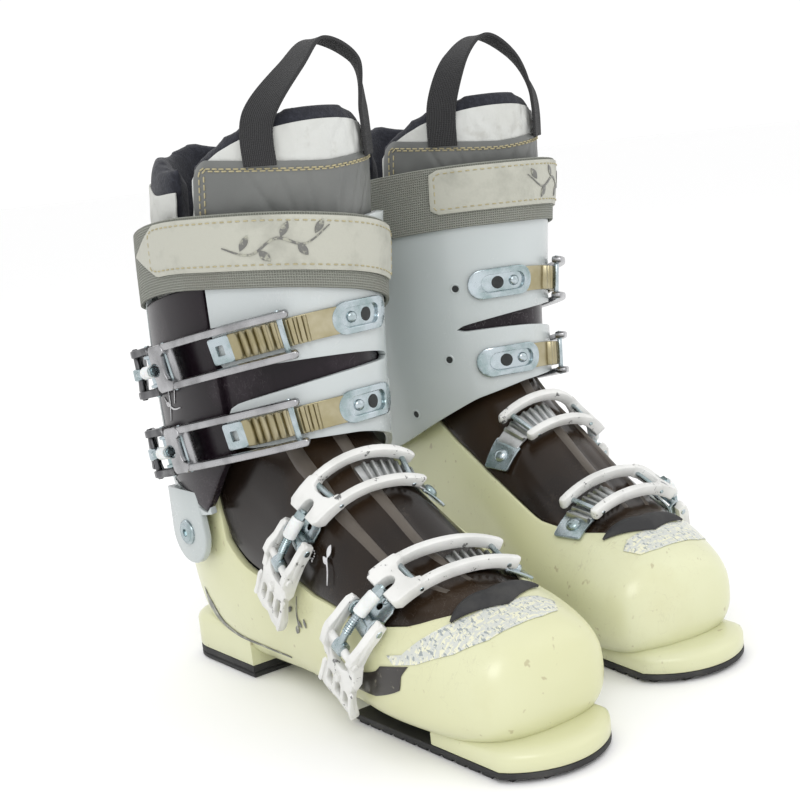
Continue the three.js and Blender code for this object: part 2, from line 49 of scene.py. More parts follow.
shellRings = {
    "top": [(283, 37.5), (281, 49), (277, 57), (268, 64), (250, 71), (229, 78), (206, 88), (185, 102),
            (166, 117), (152, 130), (141, 142), (134, 152), (130, 161), (127, 168), (125, 175), (124, 181),
            (124, 186), (125, 191)],
    "bottom": [(283, 32.5), (282, 20), (279, 14), (271, 9.5), (253, 8), (231, 8), (207, 8), (184, 8),
               (155, 8), (120, 8), (85, 8), (50, 9), (20, 14), (2, 30), (-3, 54), (-1, 83), (4, 112),
               (11, 138)],
    "half": [4, 20, 31.5, 39, 45, 47.5, 48, 46, 43.5, 41, 40, 39.5, 40, 40.5, 41, 41.5, 42, 42.5],
    "shift": [3, 3, 3, 3, 2, 0, -1, -1, -1, 0, 0, 0, 0, 0, 0, 0, 0, 0],
    "square": [1, 0.9, 0.75, 0.65, 0.6, 0.6, 0.6, 0.6, 0.6, 0.6, 0.55, 0.52, 0.65, 0.8, 0.85, 0.95, 1, 1],
}
cuffRings = {
    "top": [(150, 110), (150, 136), (149.5, 161), (149.5, 185), (150.5, 210), (152, 234), (154.5, 257),
            (157, 276), (158.5, 294), (158.5, 312)],
    "bottom": [(-6, 82), (-8, 105), (-8, 130), (-6, 154), (-3, 179), (2, 204), (6, 229), (10, 252), (12, 272),
               (9, 293)],
    "half": [44.5, 47, 49, 51, 53, 55, 56.5, 57, 56, 53],
    "shift": [0] * 10,
    "square": [1] * 10,
}
wallOf = {"shell": 4.5, "floor": 13, "cuff": 3.5, "insert": 3.2, "bootie": 5}
pivotAt = {"forward": 47, "z": 84}
shellEnd = {"forward": 3, "z": 121, "rise": math.radians(13)}
windowInner = [(4.3, 24), (4.9, 38), (6, 50), (8, 58), (10, 61), (12, 61), (14, 57), (17, 50)]
windowOuter = [(4.3, 32), (4.9, 52), (6, 72), (8, 86), (10, 92), (12, 91), (14, 82), (17, 74)]
cuffLow = [(-66, 1.34), (-30, 1.27), (0, 1.18), (30, 0.98), (58, 0.62), (86, 0.2), (108, 0.05), (136, 0.4),
           (180, 0.8), (216, 0.5), (234, 0.1), (272, 0.1)]
cuffHigh = [(-66, 5.4), (0, 5.5), (60, 5.9), (110, 6.2), (180, 6.3), (235, 6.1), (252, 5.9)]
insertLow = [(-118, 0.98), (-91, 0.2), (-79, 0.75), (-67, 1.31)]
strapLine = {
    "right": [(-180, 5.6), (-90, 5.85), (0, 4.95), (75, 4.4), (180, 5.6)],
    "left": [(-180, 6.1), (-90, 5.8), (0, 5.7), (100, 6.1), (180, 6.1)],
}


def lookup(pairs, at):
    # straight lines between (place, value) pairs
    if at <= pairs[0][0]:
        return pairs[0][1]
    for (p0, v0), (p1, v1) in zip(pairs, pairs[1:]):
        if at <= p1:
            return v0 + (v1 - v0) * (at - p0) / (p1 - p0)
    return pairs[-1][1]


def splineValue(values, at):
    # a smooth curve through evenly spaced values
    last = len(values) - 1
    at = min(max(at, 0), last)
    i = min(int(at), last)
    w = at - i
    p0, p1 = values[max(i - 1, 0)], values[i]
    p2, p3 = values[min(i + 1, last)], values[min(i + 2, last)]
    v0, v1 = (p2 - p0) / 2, (p3 - p1) / 2
    return (2 * p1 - 2 * p2 + v0 + v1) * w ** 3 + (-3 * p1 + 3 * p2 - 2 * v0 - v1) * w ** 2 + v0 * w + p1


def signedPower(value, exponent):
    return math.copysign(abs(value) ** exponent, value)


class Surface:
    # rings of a tube: each has a top and a bottom point, a half width, a shift and a squareness
    def __init__(self, rings):
        self.rows = [[p[0] for p in rings["top"]], [p[1] for p in rings["top"]],
                     [p[0] for p in rings["bottom"]], [p[1] for p in rings["bottom"]],
                     rings["half"], rings["shift"], rings["square"]]
        self.last = len(rings["half"]) - 1

    def point(self, t, angle):
        topF, topZ, lowF, lowZ, half, shift, square = [splineValue(row, t) for row in self.rows]
        c, s = math.cos(math.radians(angle)), math.sin(math.radians(angle))
        e = square if c < 0 else 0.95
        k = signedPower(c, e)
        forward = (topF + lowF) / 2 + (topF - lowF) / 2 * k
        z = (topZ + lowZ) / 2 + (topZ - lowZ) / 2 * k
        return Vector((shift + half * signedPower(s, e), -forward, z))

    def normal(self, t, angle):
        along = self.point(min(self.last, t + 0.05), angle) - self.point(max(0, t - 0.05), angle)
        around = self.point(t, angle + 0.5) - self.point(t, angle - 0.5)
        return around.cross(along).normalized()

    def above(self, t, angle, height):
        return self.point(t, angle) + height * self.normal(t, angle)

    # millimetres of travel for one ring and for one degree at a spot
    def scaleAt(self, t, angle):
        up = (self.point(t + 0.2, angle) - self.point(t - 0.2, angle)).length / 0.4
        around = (self.point(t, angle + 1) - self.point(t, angle - 1)).length / 2
        return up, around


def insetRings(rings, wall, floor):
    # the same tube with its rings drawn in by a wall, and by a thicker floor where it stands on the sole
    moved = {key: list(value) for key, value in rings.items()}
    for i, (top, bottom) in enumerate(zip(rings["top"], rings["bottom"])):
        a, b = Vector(top), Vector(bottom)
        along = (b - a).normalized()
        moved["top"][i] = tuple(a + along * wall)
        moved["bottom"][i] = tuple(b - along * (floor if bottom[1] < 12 else wall))
        moved["half"][i] = rings["half"][i] - wall
    return moved


shell = Surface(shellRings)
cuff = Surface(cuffRings)


def shellTop(angle):
    # the ring at which the shell's slanted top edge cuts it off
    low, high = 8.0, 17.0
    for _ in range(22):
        middle = (low + high) / 2
        p = shell.point(middle, angle)
        if p.z < shellEnd["z"] + (-p.y - shellEnd["forward"]) * math.tan(shellEnd["rise"]):
            low = middle
        else:
            high = middle
    return low


def newMesh(name, points, faces, uvs=None):
    mesh = bpy.data.meshes.new(name)
    mesh.from_pydata([tuple(p) for p in points], [], faces)
    if uvs:
        layer = mesh.uv_layers.new(name="surface")
        for loop in mesh.loops:
            layer.data[loop.index].uv = uvs[loop.vertex_index]
    mesh.update()
    return mesh


def gridFaces(rows, columns, offset=0, closed=False):
    faces = []
    wide = columns if closed else columns + 1
    for i in range(rows):
        for j in range(columns):
            a = offset + i * wide + j
            b = offset + i * wide + (j + 1) % wide
            faces.append((a, b, b + wide, a + wide))
    return faces


def patchMesh(name, patches, cap=None):
    # patches: each a grid of points, rows by columns; neighbours share their edge points
    points, faces, uvs = [], [], []
    for grid in patches:
        faces += gridFaces(len(grid) - 1, len(grid[0]) - 1, len(points))
        middle = len(grid[0]) // 2
        down = 0.0
        for i, row in enumerate(grid):
            run = 0.0
            down += (row[middle] - grid[i - 1][middle]).length if i else 0
            for j, p in enumerate(row):
                run += (p - row[j - 1]).length if j else 0
                uvs.append((run / 1000, down / 1000))
                points.append(p)
    if cap:
        faces.append(tuple(range(len(points), len(points) + len(cap))))
        points += cap
        uvs += [(0, 0)] * len(cap)
    mesh = newMesh(name, points, faces, uvs)
    return cleaned(mesh)


def cleaned(mesh, merge=0.02):
    work = bmesh.new()
    work.from_mesh(mesh)
    bmesh.ops.remove_doubles(work, verts=work.verts, dist=merge)
    bmesh.ops.recalc_face_normals(work, faces=work.faces)
    work.to_mesh(mesh)
    work.free()
    return mesh


def evaluated(thing):
    # the object's finished mesh; the object itself goes away
    graph = bpy.context.evaluated_depsgraph_get()
    graph.update()
    final = thing.evaluated_get(graph)
    mesh = bpy.data.meshes.new_from_object(final, preserve_all_data_layers=True, depsgraph=graph)
    bpy.data.objects.remove(thing)
    return mesh


def shaped(mesh, *modifiers):
    # the mesh with modifiers applied: each is (kind, {setting: value})
    thing = bpy.data.objects.new("work", mesh)
    bpy.context.scene.collection.objects.link(thing)
    for kind, settings in modifiers:
        modifier = thing.modifiers.new(kind, kind)
        for key, value in settings.items():
            setattr(modifier, key, value)
    return evaluated(thing)


def thickened(mesh, inward, bevel):
    # gives an open sheet its wall, with rounded edges
    steps = [("SOLIDIFY", {"thickness": inward, "offset": -1, "use_even_offset": True})]
    if bevel:
        steps.append(("BEVEL", {"width": bevel, "segments": 2, "limit_method": "ANGLE",
                                "angle_limit": math.radians(50)}))
    return shaped(mesh, *steps)


def outwards(mesh, middle):
    # turns an open sheet so that its faces look away from a middle line
    work = bmesh.new()
    work.from_mesh(mesh)
    total = sum((f.normal.dot(f.calc_center_median() - middle) * f.calc_area()) for f in work.faces)
    if total < 0:
        bmesh.ops.reverse_faces(work, faces=work.faces)
    work.to_mesh(mesh)
    work.free()
    return mesh


def joinedMeshes(name, meshes):
    work = bmesh.new()
    for mesh in meshes:
        work.from_mesh(mesh)
    mesh = bpy.data.meshes.new(name)
    work.to_mesh(mesh)
    work.free()
    return mesh


def gridOn(surface, at, rows, columns, height=0.0):
    # at(u, v) gives ring and angle; height may be a number or a function of u and v
    def raised(u, v):
        return surface.above(*at(u, v), height(u, v) if callable(height) else height)

    return [[raised(i / rows, j / columns) for j in range(columns + 1)] for i in range(rows + 1)]


padEdge = {"steep": 7, "alongRows": 1.6, "alongColumns": 2, "thin": 0.35, "swell": 0.65}


def padMesh(name, surface, at, rows, columns, low, high):
    # a closed pad on a surface, with rounded edges
    k = padEdge
    middle, half = (low + high) / 2, (high - low) / 2

    def layer(side):
        def lift(u, v):
            down, across = k["steep"] * min(u, 1 - u), k["steep"] * min(v, 1 - v)
            edge = min(1, down * k["alongRows"], across * k["alongColumns"])
            swell = math.sqrt(max(0, 1 - (1 - edge) ** 2))
            return middle + side * half * (k["thin"] + k["swell"] * swell)
        return gridOn(surface, at, rows, columns, lift)

    outer, inner = layer(1), layer(-1)
    points = [p for grid in (outer, inner) for row in grid for p in row]
    wide, size = columns + 1, (rows + 1) * (columns + 1)
    faces = gridFaces(rows, columns)
    faces += [tuple(size + k for k in reversed(f)) for f in gridFaces(rows, columns)]
    rim = [j for j in range(wide)] + [i * wide + columns for i in range(1, rows + 1)]
    rim += [rows * wide + j for j in range(columns - 1, -1, -1)] + [i * wide for i in range(rows - 1, 0, -1)]
    for a, b in zip(rim, rim[1:] + rim[:1]):
        faces.append((a, a + size, b + size, b))
    return cleaned(newMesh(name, points, faces))


class Boot:
    # where one boot stands, worked out from its ankle joint
    def __init__(self, side):
        self.side = side
        joint = next(j for j in frame["joints"] if j["name"] == side + "_cuff_flex")
        yaw = math.atan2(joint["axis"][1], joint["axis"][0])
        turn = Matrix.Rotation(yaw, 4, "Z")
        heel = Vector(joint["pos_m"]) - turn @ Vector((0, -pivotAt["forward"] / 1000, 0))
        heel.z = 0
        self.flipped = side == "left"
        mirror = Matrix.Diagonal((-1 if self.flipped else 1, 1, 1, 1))
        self.matrix = Matrix.Translation(heel) @ turn @ mirror @ Matrix.Scale(0.001, 4)

    def piece(self, name, mesh, look, body, nodes, slotName):
        copy = mesh.copy()
        copy.transform(self.matrix)
        if self.flipped:
            copy.flip_normals()
        copy.materials.clear()
        copy.materials.append(finish[look])
        copy.shade_smooth()
        copy.set_sharp_from_angle(angle=math.radians(42))
        thing = bpy.data.objects.new(f"{self.side}_{name}", copy)
        copy.name = thing.name
        bpy.context.scene.collection.objects.link(thing)
        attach(thing, f"{self.side}_{body}")
        if nodes:
            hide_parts(*[f"{self.side}_{node}" for node in nodes])
        return thing


boots = [Boot("right"), Boot("left")]
print("boots placed", [list(b.matrix.translation) for b in boots])


class Finish:
    # a node material that is built up step by step on object coordinates, in metres
    def __init__(self, name, color, roughness, metallic=0.0, **sockets):
        self.material = bpy.data.materials.new(name)
        self.material.use_nodes = True
        self.tree = self.material.node_tree
        self.shader = self.tree.nodes["Principled BSDF"]
        self.shader.inputs["Base Color"].default_value = (*color, 1)
        self.shader.inputs["Roughness"].default_value = roughness
        self.shader.inputs["Metallic"].default_value = metallic
        for key, value in sockets.items():
            self.shader.inputs[key.replace("_", " ")].default_value = value
        self.coords = self.tree.nodes.new("ShaderNodeTexCoord")
        self.color = None
        self.bump = None

    def node(self, kind, **settings):
        made = self.tree.nodes.new(kind)
        for key, value in settings.items():
            setattr(made, key, value)
        return made

    def link(self, out, to):
        self.tree.links.new(out, to)

    def source(self, stretch=(1, 1, 1), uv=False):
        mapping = self.node("ShaderNodeMapping")
        mapping.inputs["Scale"].default_value = stretch
        self.link(self.coords.outputs["UV" if uv else "Object"], mapping.inputs["Vector"])
        return mapping.outputs["Vector"]

    def noise(self, scale, detail=4.0, roughness=0.55, stretch=(1, 1, 1), distortion=0.0):
        made = self.node("ShaderNodeTexNoise")
        made.inputs["Scale"].default_value = scale
        made.inputs["Detail"].default_value = detail
        made.inputs["Roughness"].default_value = roughness
        made.inputs["Distortion"].default_value = distortion
        self.link(self.source(stretch), made.inputs["Vector"])
        return made.outputs["Fac"]

    def cells(self, scale, feature="F1", stretch=(1, 1, 1)):
        made = self.node("ShaderNodeTexVoronoi", feature=feature)
        made.inputs["Scale"].default_value = scale
        self.link(self.source(stretch), made.inputs["Vector"])
        return made.outputs["Distance"]

    def waves(self, scale, direction, distortion=0.0):
        # threads that follow the piece's own UV map
        made = self.node("ShaderNodeTexWave", bands_direction=direction)
        made.inputs["Scale"].default_value = scale
        made.inputs["Distortion"].default_value = distortion
        self.link(self.source(uv=True), made.inputs["Vector"])
        return made.outputs["Fac"]

    def ramp(self, value, low, high, a=0.0, b=1.0):
        made = self.node("ShaderNodeMapRange")
        made.clamp = True
        for key, number in (("From Min", low), ("From Max", high), ("To Min", a), ("To Max", b)):
            made.inputs[key].default_value = number
        self.link(value, made.inputs["Value"])
        return made.outputs["Result"]

    def maths(self, kind, a, b):
        made = self.node("ShaderNodeMath", operation=kind)
        for value, socket in ((a, made.inputs[0]), (b, made.inputs[1])):
            if isinstance(value, (int, float)):
                socket.default_value = value
            else:
                self.link(value, socket)
        return made.outputs["Value"]

    def tint(self, mask, color):
        # mixes a colour in where the mask is 1
        made = self.node("ShaderNodeMix", data_type="RGBA")
        if self.color is None:
            made.inputs["A"].default_value = self.shader.inputs["Base Color"].default_value
        else:
            self.link(self.color, made.inputs["A"])
        made.inputs["B"].default_value = (*color, 1)
        self.link(mask, made.inputs["Factor"])
        self.color = made.outputs["Result"]
        self.link(self.color, self.shader.inputs["Base Color"])
        return self

    def rough(self, mask, low, high):
        self.link(self.ramp(mask, 0, 1, low, high), self.shader.inputs["Roughness"])
        return self

    def metal(self, mask, low, high):
        self.link(self.ramp(mask, 0, 1, low, high), self.shader.inputs["Metallic"])
        return self

    def relief(self, value, strength, distance=0.0004):
        made = self.node("ShaderNodeBump")
        made.inputs["Strength"].default_value = strength
        made.inputs["Distance"].default_value = distance
        self.link(value, made.inputs["Height"])
        if self.bump:
            self.link(self.bump, made.inputs["Normal"])
        self.bump = made.outputs["Normal"]
        self.link(self.bump, self.shader.inputs["Normal"])
        return self

    def nearLevel(self, value, level, width):
        # 1 on a value's level line, 0 a little way off it
        away = self.maths("ABSOLUTE", self.maths("SUBTRACT", value, level), 0)
        return self.ramp(away, 0.0, width, 1, 0)

    def scuffs(self, color, amount, scale=55, roughness=(0.32, 0.6)):
        # fine scratches: thin level lines of stretched noise, kept to worn patches
        thin = self.nearLevel(self.noise(scale, 3, 0.5, (1, 3.2, 0.9), 0.6), 0.5, 0.006)
        crossing = self.noise(scale * 1.7, 3, 0.5, (2.6, 0.8, 1.2), 0.4)
        thinner = self.nearLevel(crossing, 0.47, 0.005)
        patches = self.ramp(self.noise(14, 3), 0.5, 0.68)
        both = self.maths("MULTIPLY", self.maths("MAXIMUM", thin, thinner), patches)
        mask = self.maths("MULTIPLY", both, amount)
        self.tint(mask, color)
        self.rough(both, *roughness)
        return self


def plasticFinishes():
    f = {}
    cream = Finish("creamShell", (0.60, 0.60, 0.36), 0.34, Coat_Weight=0.15, Coat_Roughness=0.15)
    cream.tint(cream.ramp(cream.noise(6, 4), 0.35, 0.7), (0.65, 0.66, 0.45))
    cream.tint(cream.ramp(cream.noise(11, 5, 0.6), 0.56, 0.78, 0, 0.4), (0.50, 0.46, 0.23))
    cream.tint(cream.ramp(cream.noise(170, 2), 0.69, 0.74, 0, 0.55), (0.36, 0.30, 0.18))
    cream.scuffs((0.42, 0.39, 0.27), 0.5)
    cream.relief(cream.noise(300, 2), 0.05)
    cream.relief(cream.noise(24, 3), 0.12, 0.0012)
    f["creamShell"] = cream
    flap = Finish("smokedFlap", (0.012, 0.008, 0.006), 0.24, Specular_IOR_Level=0.28)
    flap.tint(flap.ramp(flap.noise(9, 3), 0.45, 0.72, 0, 0.7), (0.050, 0.028, 0.012))
    flap.tint(flap.ramp(flap.noise(60, 5, 0.65), 0.62, 0.75, 0, 0.35), (0.10, 0.08, 0.06))
    flap.scuffs((0.16, 0.14, 0.12), 0.3, 70, (0.22, 0.42))
    f["smokedFlap"] = flap
    rib = Finish("flapRib", (0.10, 0.085, 0.070), 0.38, Specular_IOR_Level=0.4)
    rib.tint(rib.ramp(rib.noise(40, 4), 0.45, 0.7, 0, 0.6), (0.055, 0.045, 0.038))
    rib.relief(rib.noise(200, 2), 0.08)
    f["flapRib"] = rib
    rubber = Finish("blackRubber", (0.018, 0.018, 0.019), 0.68)
    rubber.tint(rubber.ramp(rubber.noise(35, 5, 0.6), 0.5, 0.75, 0, 0.5), (0.09, 0.088, 0.08))
    rubber.relief(rubber.noise(700, 3), 0.3, 0.0003)
    f["blackRubber"] = rubber
    pearl = Finish("pearlCuff", (0.46, 0.50, 0.50), 0.32, Coat_Weight=0.15, Coat_Roughness=0.12)
    pearl.tint(pearl.ramp(pearl.noise(8, 3), 0.38, 0.7, 0, 0.7), (0.54, 0.57, 0.575))
    pearl.tint(pearl.ramp(pearl.noise(16, 5, 0.6), 0.6, 0.8, 0, 0.35), (0.42, 0.42, 0.35))
    pearl.scuffs((0.45, 0.45, 0.43), 0.4, 62, (0.26, 0.46))
    pearl.relief(pearl.noise(22, 3), 0.1, 0.001)
    f["pearlCuff"] = pearl
    dark = Finish("darkInsert", (0.010, 0.006, 0.009), 0.36, Specular_IOR_Level=0.22)
    dark.tint(dark.ramp(dark.noise(28, 5, 0.6), 0.5, 0.75, 0, 0.5), (0.055, 0.042, 0.052))
    dark.scuffs((0.28, 0.26, 0.27), 0.45, 75, (0.26, 0.5))
    f["darkInsert"] = dark
    return f


def buckleFinishes():
    f = {}
    enamel = Finish("whiteEnamel", (0.74, 0.74, 0.72), 0.4)
    enamel.tint(enamel.ramp(enamel.noise(45, 3), 0.42, 0.66, 0, 0.5), (0.53, 0.53, 0.505))
    chips = enamel.ramp(enamel.noise(150, 5, 0.7), 0.635, 0.655)
    enamel.tint(chips, (0.20, 0.20, 0.20))
    enamel.metal(chips, 0, 0.8)
    enamel.relief(enamel.ramp(enamel.noise(150, 5, 0.7), 0.62, 0.66, 1, 0), 0.5, 0.0002)
    f["whiteEnamel"] = enamel
    alloy = Finish("polishedAlloy", (0.40, 0.40, 0.41), 0.24, 1.0)
    alloy.tint(alloy.ramp(alloy.noise(60, 4), 0.45, 0.70, 0, 0.8), (0.20, 0.20, 0.205))
    alloy.rough(alloy.noise(180, 4, 0.7), 0.15, 0.42)
    alloy.relief(alloy.noise(500, 2, 0.5, (1, 1, 5)), 0.06, 0.0002)
    f["polishedAlloy"] = alloy
    steel = Finish("darkSteel", (0.12, 0.12, 0.125), 0.34, 1.0)
    steel.tint(steel.ramp(steel.noise(80, 5, 0.65), 0.52, 0.72, 0, 0.7), (0.30, 0.30, 0.30))
    steel.rough(steel.noise(120, 4, 0.7), 0.26, 0.55)
    f["darkSteel"] = steel
    zinc = Finish("zincSteel", (0.46, 0.52, 0.55), 0.24, 1.0)
    zinc.tint(zinc.ramp(zinc.noise(90, 3), 0.42, 0.66, 0, 0.8), (0.24, 0.32, 0.32))
    zinc.rough(zinc.noise(240, 3), 0.14, 0.38)
    f["zincSteel"] = zinc
    brass = Finish("brassLadder", (0.34, 0.30, 0.18), 0.32, 1.0)
    brass.tint(brass.ramp(brass.noise(70, 4), 0.4, 0.72, 0, 0.75), (0.50, 0.46, 0.34))
    brass.rough(brass.noise(160, 4, 0.7), 0.2, 0.46)
    f["brassLadder"] = brass
    silver = Finish("silverLadder", (0.52, 0.53, 0.53), 0.3, 1.0)
    silver.tint(silver.ramp(silver.noise(90, 4), 0.45, 0.7, 0, 0.7), (0.30, 0.31, 0.30))
    silver.rough(silver.noise(160, 4, 0.7), 0.18, 0.44)
    f["silverLadder"] = silver
    nylon = Finish("whiteNylon", (0.74, 0.75, 0.74), 0.5, Subsurface_Weight=0.05)
    nylon.tint(nylon.ramp(nylon.noise(120, 4), 0.5, 0.75, 0, 0.5), (0.52, 0.53, 0.52))
    f["whiteNylon"] = nylon
    # painted shade: a near-black finish for the discs that stand in for the shaded insides of holes
    holeShadeFinish = Finish("darkHollow", (0.010, 0.012, 0.012), 0.6)
    holeShadeFinish.tint(holeShadeFinish.ramp(holeShadeFinish.noise(200, 2), 0.4, 0.7, 0, 0.5), (0.03, 0.035, 0.034))
    f["darkHollow"] = holeShadeFinish
    return f


def softFinishes():
    f = {}
    leather = Finish("linerLeather", (0.56, 0.57, 0.55), 0.52)
    leather.tint(leather.ramp(leather.noise(18, 4), 0.4, 0.7, 0, 0.6), (0.46, 0.46, 0.42))
    leather.tint(leather.ramp(leather.noise(90, 5, 0.6), 0.58, 0.72, 0, 0.4), (0.32, 0.31, 0.27))
    leather.relief(leather.cells(420), 0.3, 0.0004)
    leather.relief(leather.ramp(leather.cells(60, "DISTANCE_TO_EDGE", (1, 1, 0.6)), 0.0, 0.12), 0.45, 0.0007)
    leather.relief(leather.noise(30, 4), 0.3, 0.002)
    f["linerLeather"] = leather
    fleece = Finish("blackFleece", (0.012, 0.013, 0.020), 0.95, Sheen_Weight=0.12, Sheen_Roughness=0.5)
    fleece.tint(fleece.ramp(fleece.noise(500, 3), 0.45, 0.75, 0, 0.7), (0.035, 0.038, 0.052))
    fleece.relief(fleece.noise(900, 3, 0.7), 0.7, 0.0008)
    fleece.relief(fleece.noise(45, 3), 0.5, 0.003)
    f["blackFleece"] = fleece
    black = Finish("blackWebbing", (0.014, 0.014, 0.015), 0.7)
    ribs = black.waves(330, "X")
    cross = black.waves(300, "Y")
    black.tint(black.ramp(ribs, 0.5, 1.0, 0, 0.65), (0.06, 0.06, 0.062))
    black.relief(black.maths("ADD", ribs, black.maths("MULTIPLY", cross, 0.4)), 0.8, 0.0006)
    f["blackWebbing"] = black
    grey = Finish("greyWebbing", (0.17, 0.175, 0.15), 0.8)
    weft = grey.waves(240, "X", 0.3)
    warp = grey.waves(240, "Y", 0.3)
    weave = grey.maths("MAXIMUM", grey.maths("MULTIPLY", weft, 0.8), warp)
    grey.tint(grey.ramp(weave, 0.35, 0.9), (0.30, 0.31, 0.27))
    grey.tint(grey.ramp(grey.noise(30, 4), 0.5, 0.75, 0, 0.35), (0.20, 0.19, 0.16))
    grey.relief(weave, 0.9, 0.0009)
    f["greyWebbing"] = grey
    patch = Finish("patchLeather", (0.44, 0.44, 0.38), 0.5)
    patch.tint(patch.ramp(patch.noise(40, 5, 0.6), 0.5, 0.72, 0, 0.7), (0.27, 0.27, 0.23))
    patch.relief(patch.cells(520), 0.3, 0.0003)
    patch.relief(patch.noise(80, 4), 0.3, 0.0008)
    f["patchLeather"] = patch
    shield = Finish("shieldCloth", (0.125, 0.13, 0.125), 0.45)
    shield.tint(shield.ramp(shield.noise(25, 4), 0.4, 0.7, 0, 0.6), (0.175, 0.18, 0.17))
    shield.relief(shield.cells(700), 0.2, 0.0002)
    f["shieldCloth"] = shield
    thread = Finish("oldThread", (0.42, 0.37, 0.22), 0.75)
    thread.tint(thread.ramp(thread.noise(600, 2), 0.4, 0.7, 0, 0.6), (0.28, 0.25, 0.16))
    f["oldThread"] = thread
    return f


def markFinishes():
    f = {}
    ink = Finish("greyInk", (0.14, 0.14, 0.13), 0.4)
    ink.tint(ink.ramp(ink.noise(160, 4, 0.7), 0.5, 0.6, 0, 0.7), (0.45, 0.45, 0.36))
    f["greyInk"] = ink
    pale = Finish("paleInk", (0.62, 0.62, 0.63), 0.4)
    pale.tint(pale.ramp(pale.noise(180, 4, 0.7), 0.5, 0.62, 0, 0.5), (0.25, 0.23, 0.25))
    f["paleInk"] = pale
    wedge = Finish("darkPrint", (0.022, 0.018, 0.016), 0.3, Coat_Weight=0.25)
    wedge.tint(wedge.ramp(wedge.noise(90, 5, 0.65), 0.58, 0.66, 0, 0.8), (0.30, 0.28, 0.2))
    f["darkPrint"] = wedge
    foil = Finish("silverFoil", (0.62, 0.64, 0.60), 0.3, 0.55)
    foil.tint(foil.ramp(foil.noise(260, 4, 0.7, (1, 2.5, 1)), 0.5, 0.56), (0.80, 0.79, 0.60))
    foil.tint(foil.ramp(foil.noise(340, 3, 0.6, (2.5, 1, 1)), 0.57, 0.61, 0, 0.9), (0.30, 0.34, 0.36))
    f["silverFoil"] = foil
    return f


finish = {}
for makeGroup in (plasticFinishes, buckleFinishes, softFinishes, markFinishes):
    finish.update({name: one.material for name, one in makeGroup().items()})
print("finishes made", len(finish))


# the lower shell: a body with a window over the instep, and a strip that closes the nose in front of it
lowerShell = {"noseRows": 22, "backRows": 44, "sideColumns": 76, "frontColumns": 16, "bevel": 0.9,
              "noseCrowding": 1.25, "topFrom": 57, "topTo": 286}


def shellMesh():
    k = lowerShell
    inner, outer = windowInner[0][1], windowOuter[0][1]
    front = windowInner[0][0]
    tops = {}

    def side(j):
        return j / k["sideColumns"]

    def noseRing(i):
        return front * (i / k["noseRows"]) ** k["noseCrowding"]

    def at(i, j):
        if i <= k["noseRows"]:
            return noseRing(i), inner + (360 - outer - inner) * side(j)
        u = (i - k["noseRows"]) / k["backRows"]
        if j not in tops:
            tops[j] = shellTop(k["topFrom"] + (k["topTo"] - k["topFrom"]) * side(j))
        t = front + (tops[j] - front) * u
        a, b = lookup(windowInner, t), lookup(windowOuter, t)
        return t, a + (360 - b - a) * side(j)

    rows = k["noseRows"] + k["backRows"]
    body = [[shell.point(*at(i, j)) for j in range(k["sideColumns"] + 1)] for i in range(rows + 1)]
    nose = [[shell.point(noseRing(i), -outer + (outer + inner) * j / k["frontColumns"])
             for j in range(k["frontColumns"] + 1)] for i in range(k["noseRows"] + 1)]
    around = body[0][:-1] + nose[0][:-1]
    mesh = patchMesh("shell", [body, nose], around)
    outwards(mesh, Vector((0, -140, 60)))
    return thickened(mesh, wallOf["shell"], k["bevel"])


# the sole: outlines worked out at an inset from its edge, and solids stacked from them
soleSize = {"length": 298, "width": 69, "noseRadius": 41.5, "lugBack": 232, "treadBack": 168, "heelFront": 74,
            "heelCorner": 22}
treadBlock = {"count": 13, "first": 4, "pitch": 9.4, "long": 7, "groove": 4, "margin": 1.2, "least": 6}


def noseOutline(back, inset=0.0, steps=22):
    half = soleSize["width"] / 2 - inset
    radius = soleSize["noseRadius"] - inset
    centre = soleSize["length"] - soleSize["noseRadius"]
    reach = math.asin(min(1, (half - 3 + inset * 0.4) / radius))
    points = [(half, -(back + inset)), (half, -(centre + radius * math.cos(reach) - 4))]
    for i in range(steps + 1):
        a = reach - 2 * reach * i / steps
        points.append((radius * math.sin(a), -(centre + radius * math.cos(a))))
    points += [(-half, points[1][1]), (-half, -(back + inset))]
    return points


def heelOutline(front, inset=0.0, steps=9):
    half = soleSize["width"] / 2 - inset
    centre = soleSize["heelCorner"]
    corner = centre - inset
    points = [(half, -(front - inset))]
    for side in (1, -1):
        for i in range(steps + 1):
            a = math.pi / 2 * i / steps
            a = a if side > 0 else math.pi / 2 - a
            points.append((side * (half - corner + corner * math.cos(a)), -(centre - corner * math.sin(a))))
    points.append((-half, -(front - inset)))
    return points


def stacked(name, levels):
    # a closed solid through outlines of equal length: (outline, z) from low to high
    points, faces = [], []
    count = len(levels[0][0])
    for outline, z in levels:
        points += [Vector((x, y, z)) for x, y in outline]
    for i in range(len(levels) - 1):
        for j in range(count):
            a, b = i * count + j, i * count + (j + 1) % count
            faces.append((a, b, b + count, a + count))
    faces += [tuple(range(count)), tuple(range((len(levels) - 1) * count, len(levels) * count))]
    return cleaned(newMesh(name, points, faces), 0.001)


def toeLugMesh():
    back = soleSize["lugBack"]
    levels = [(0.5, 5.3), (0, 5.9), (0, 11.2), (0.7, 12.8), (2.6, 14.3), (5.5, 15.2), (9, 15.6)]
    return stacked("toeLug", [(noseOutline(back, inset), z) for inset, z in levels])


def heelLugMesh():
    levels = [(0.3, 7.3), (0, 7.8), (0, 22.5), (0.8, 24.4), (2.4, 25.6), (4.5, 26.2)]
    return stacked("heelLug", [(heelOutline(soleSize["heelFront"], inset), z) for inset, z in levels])


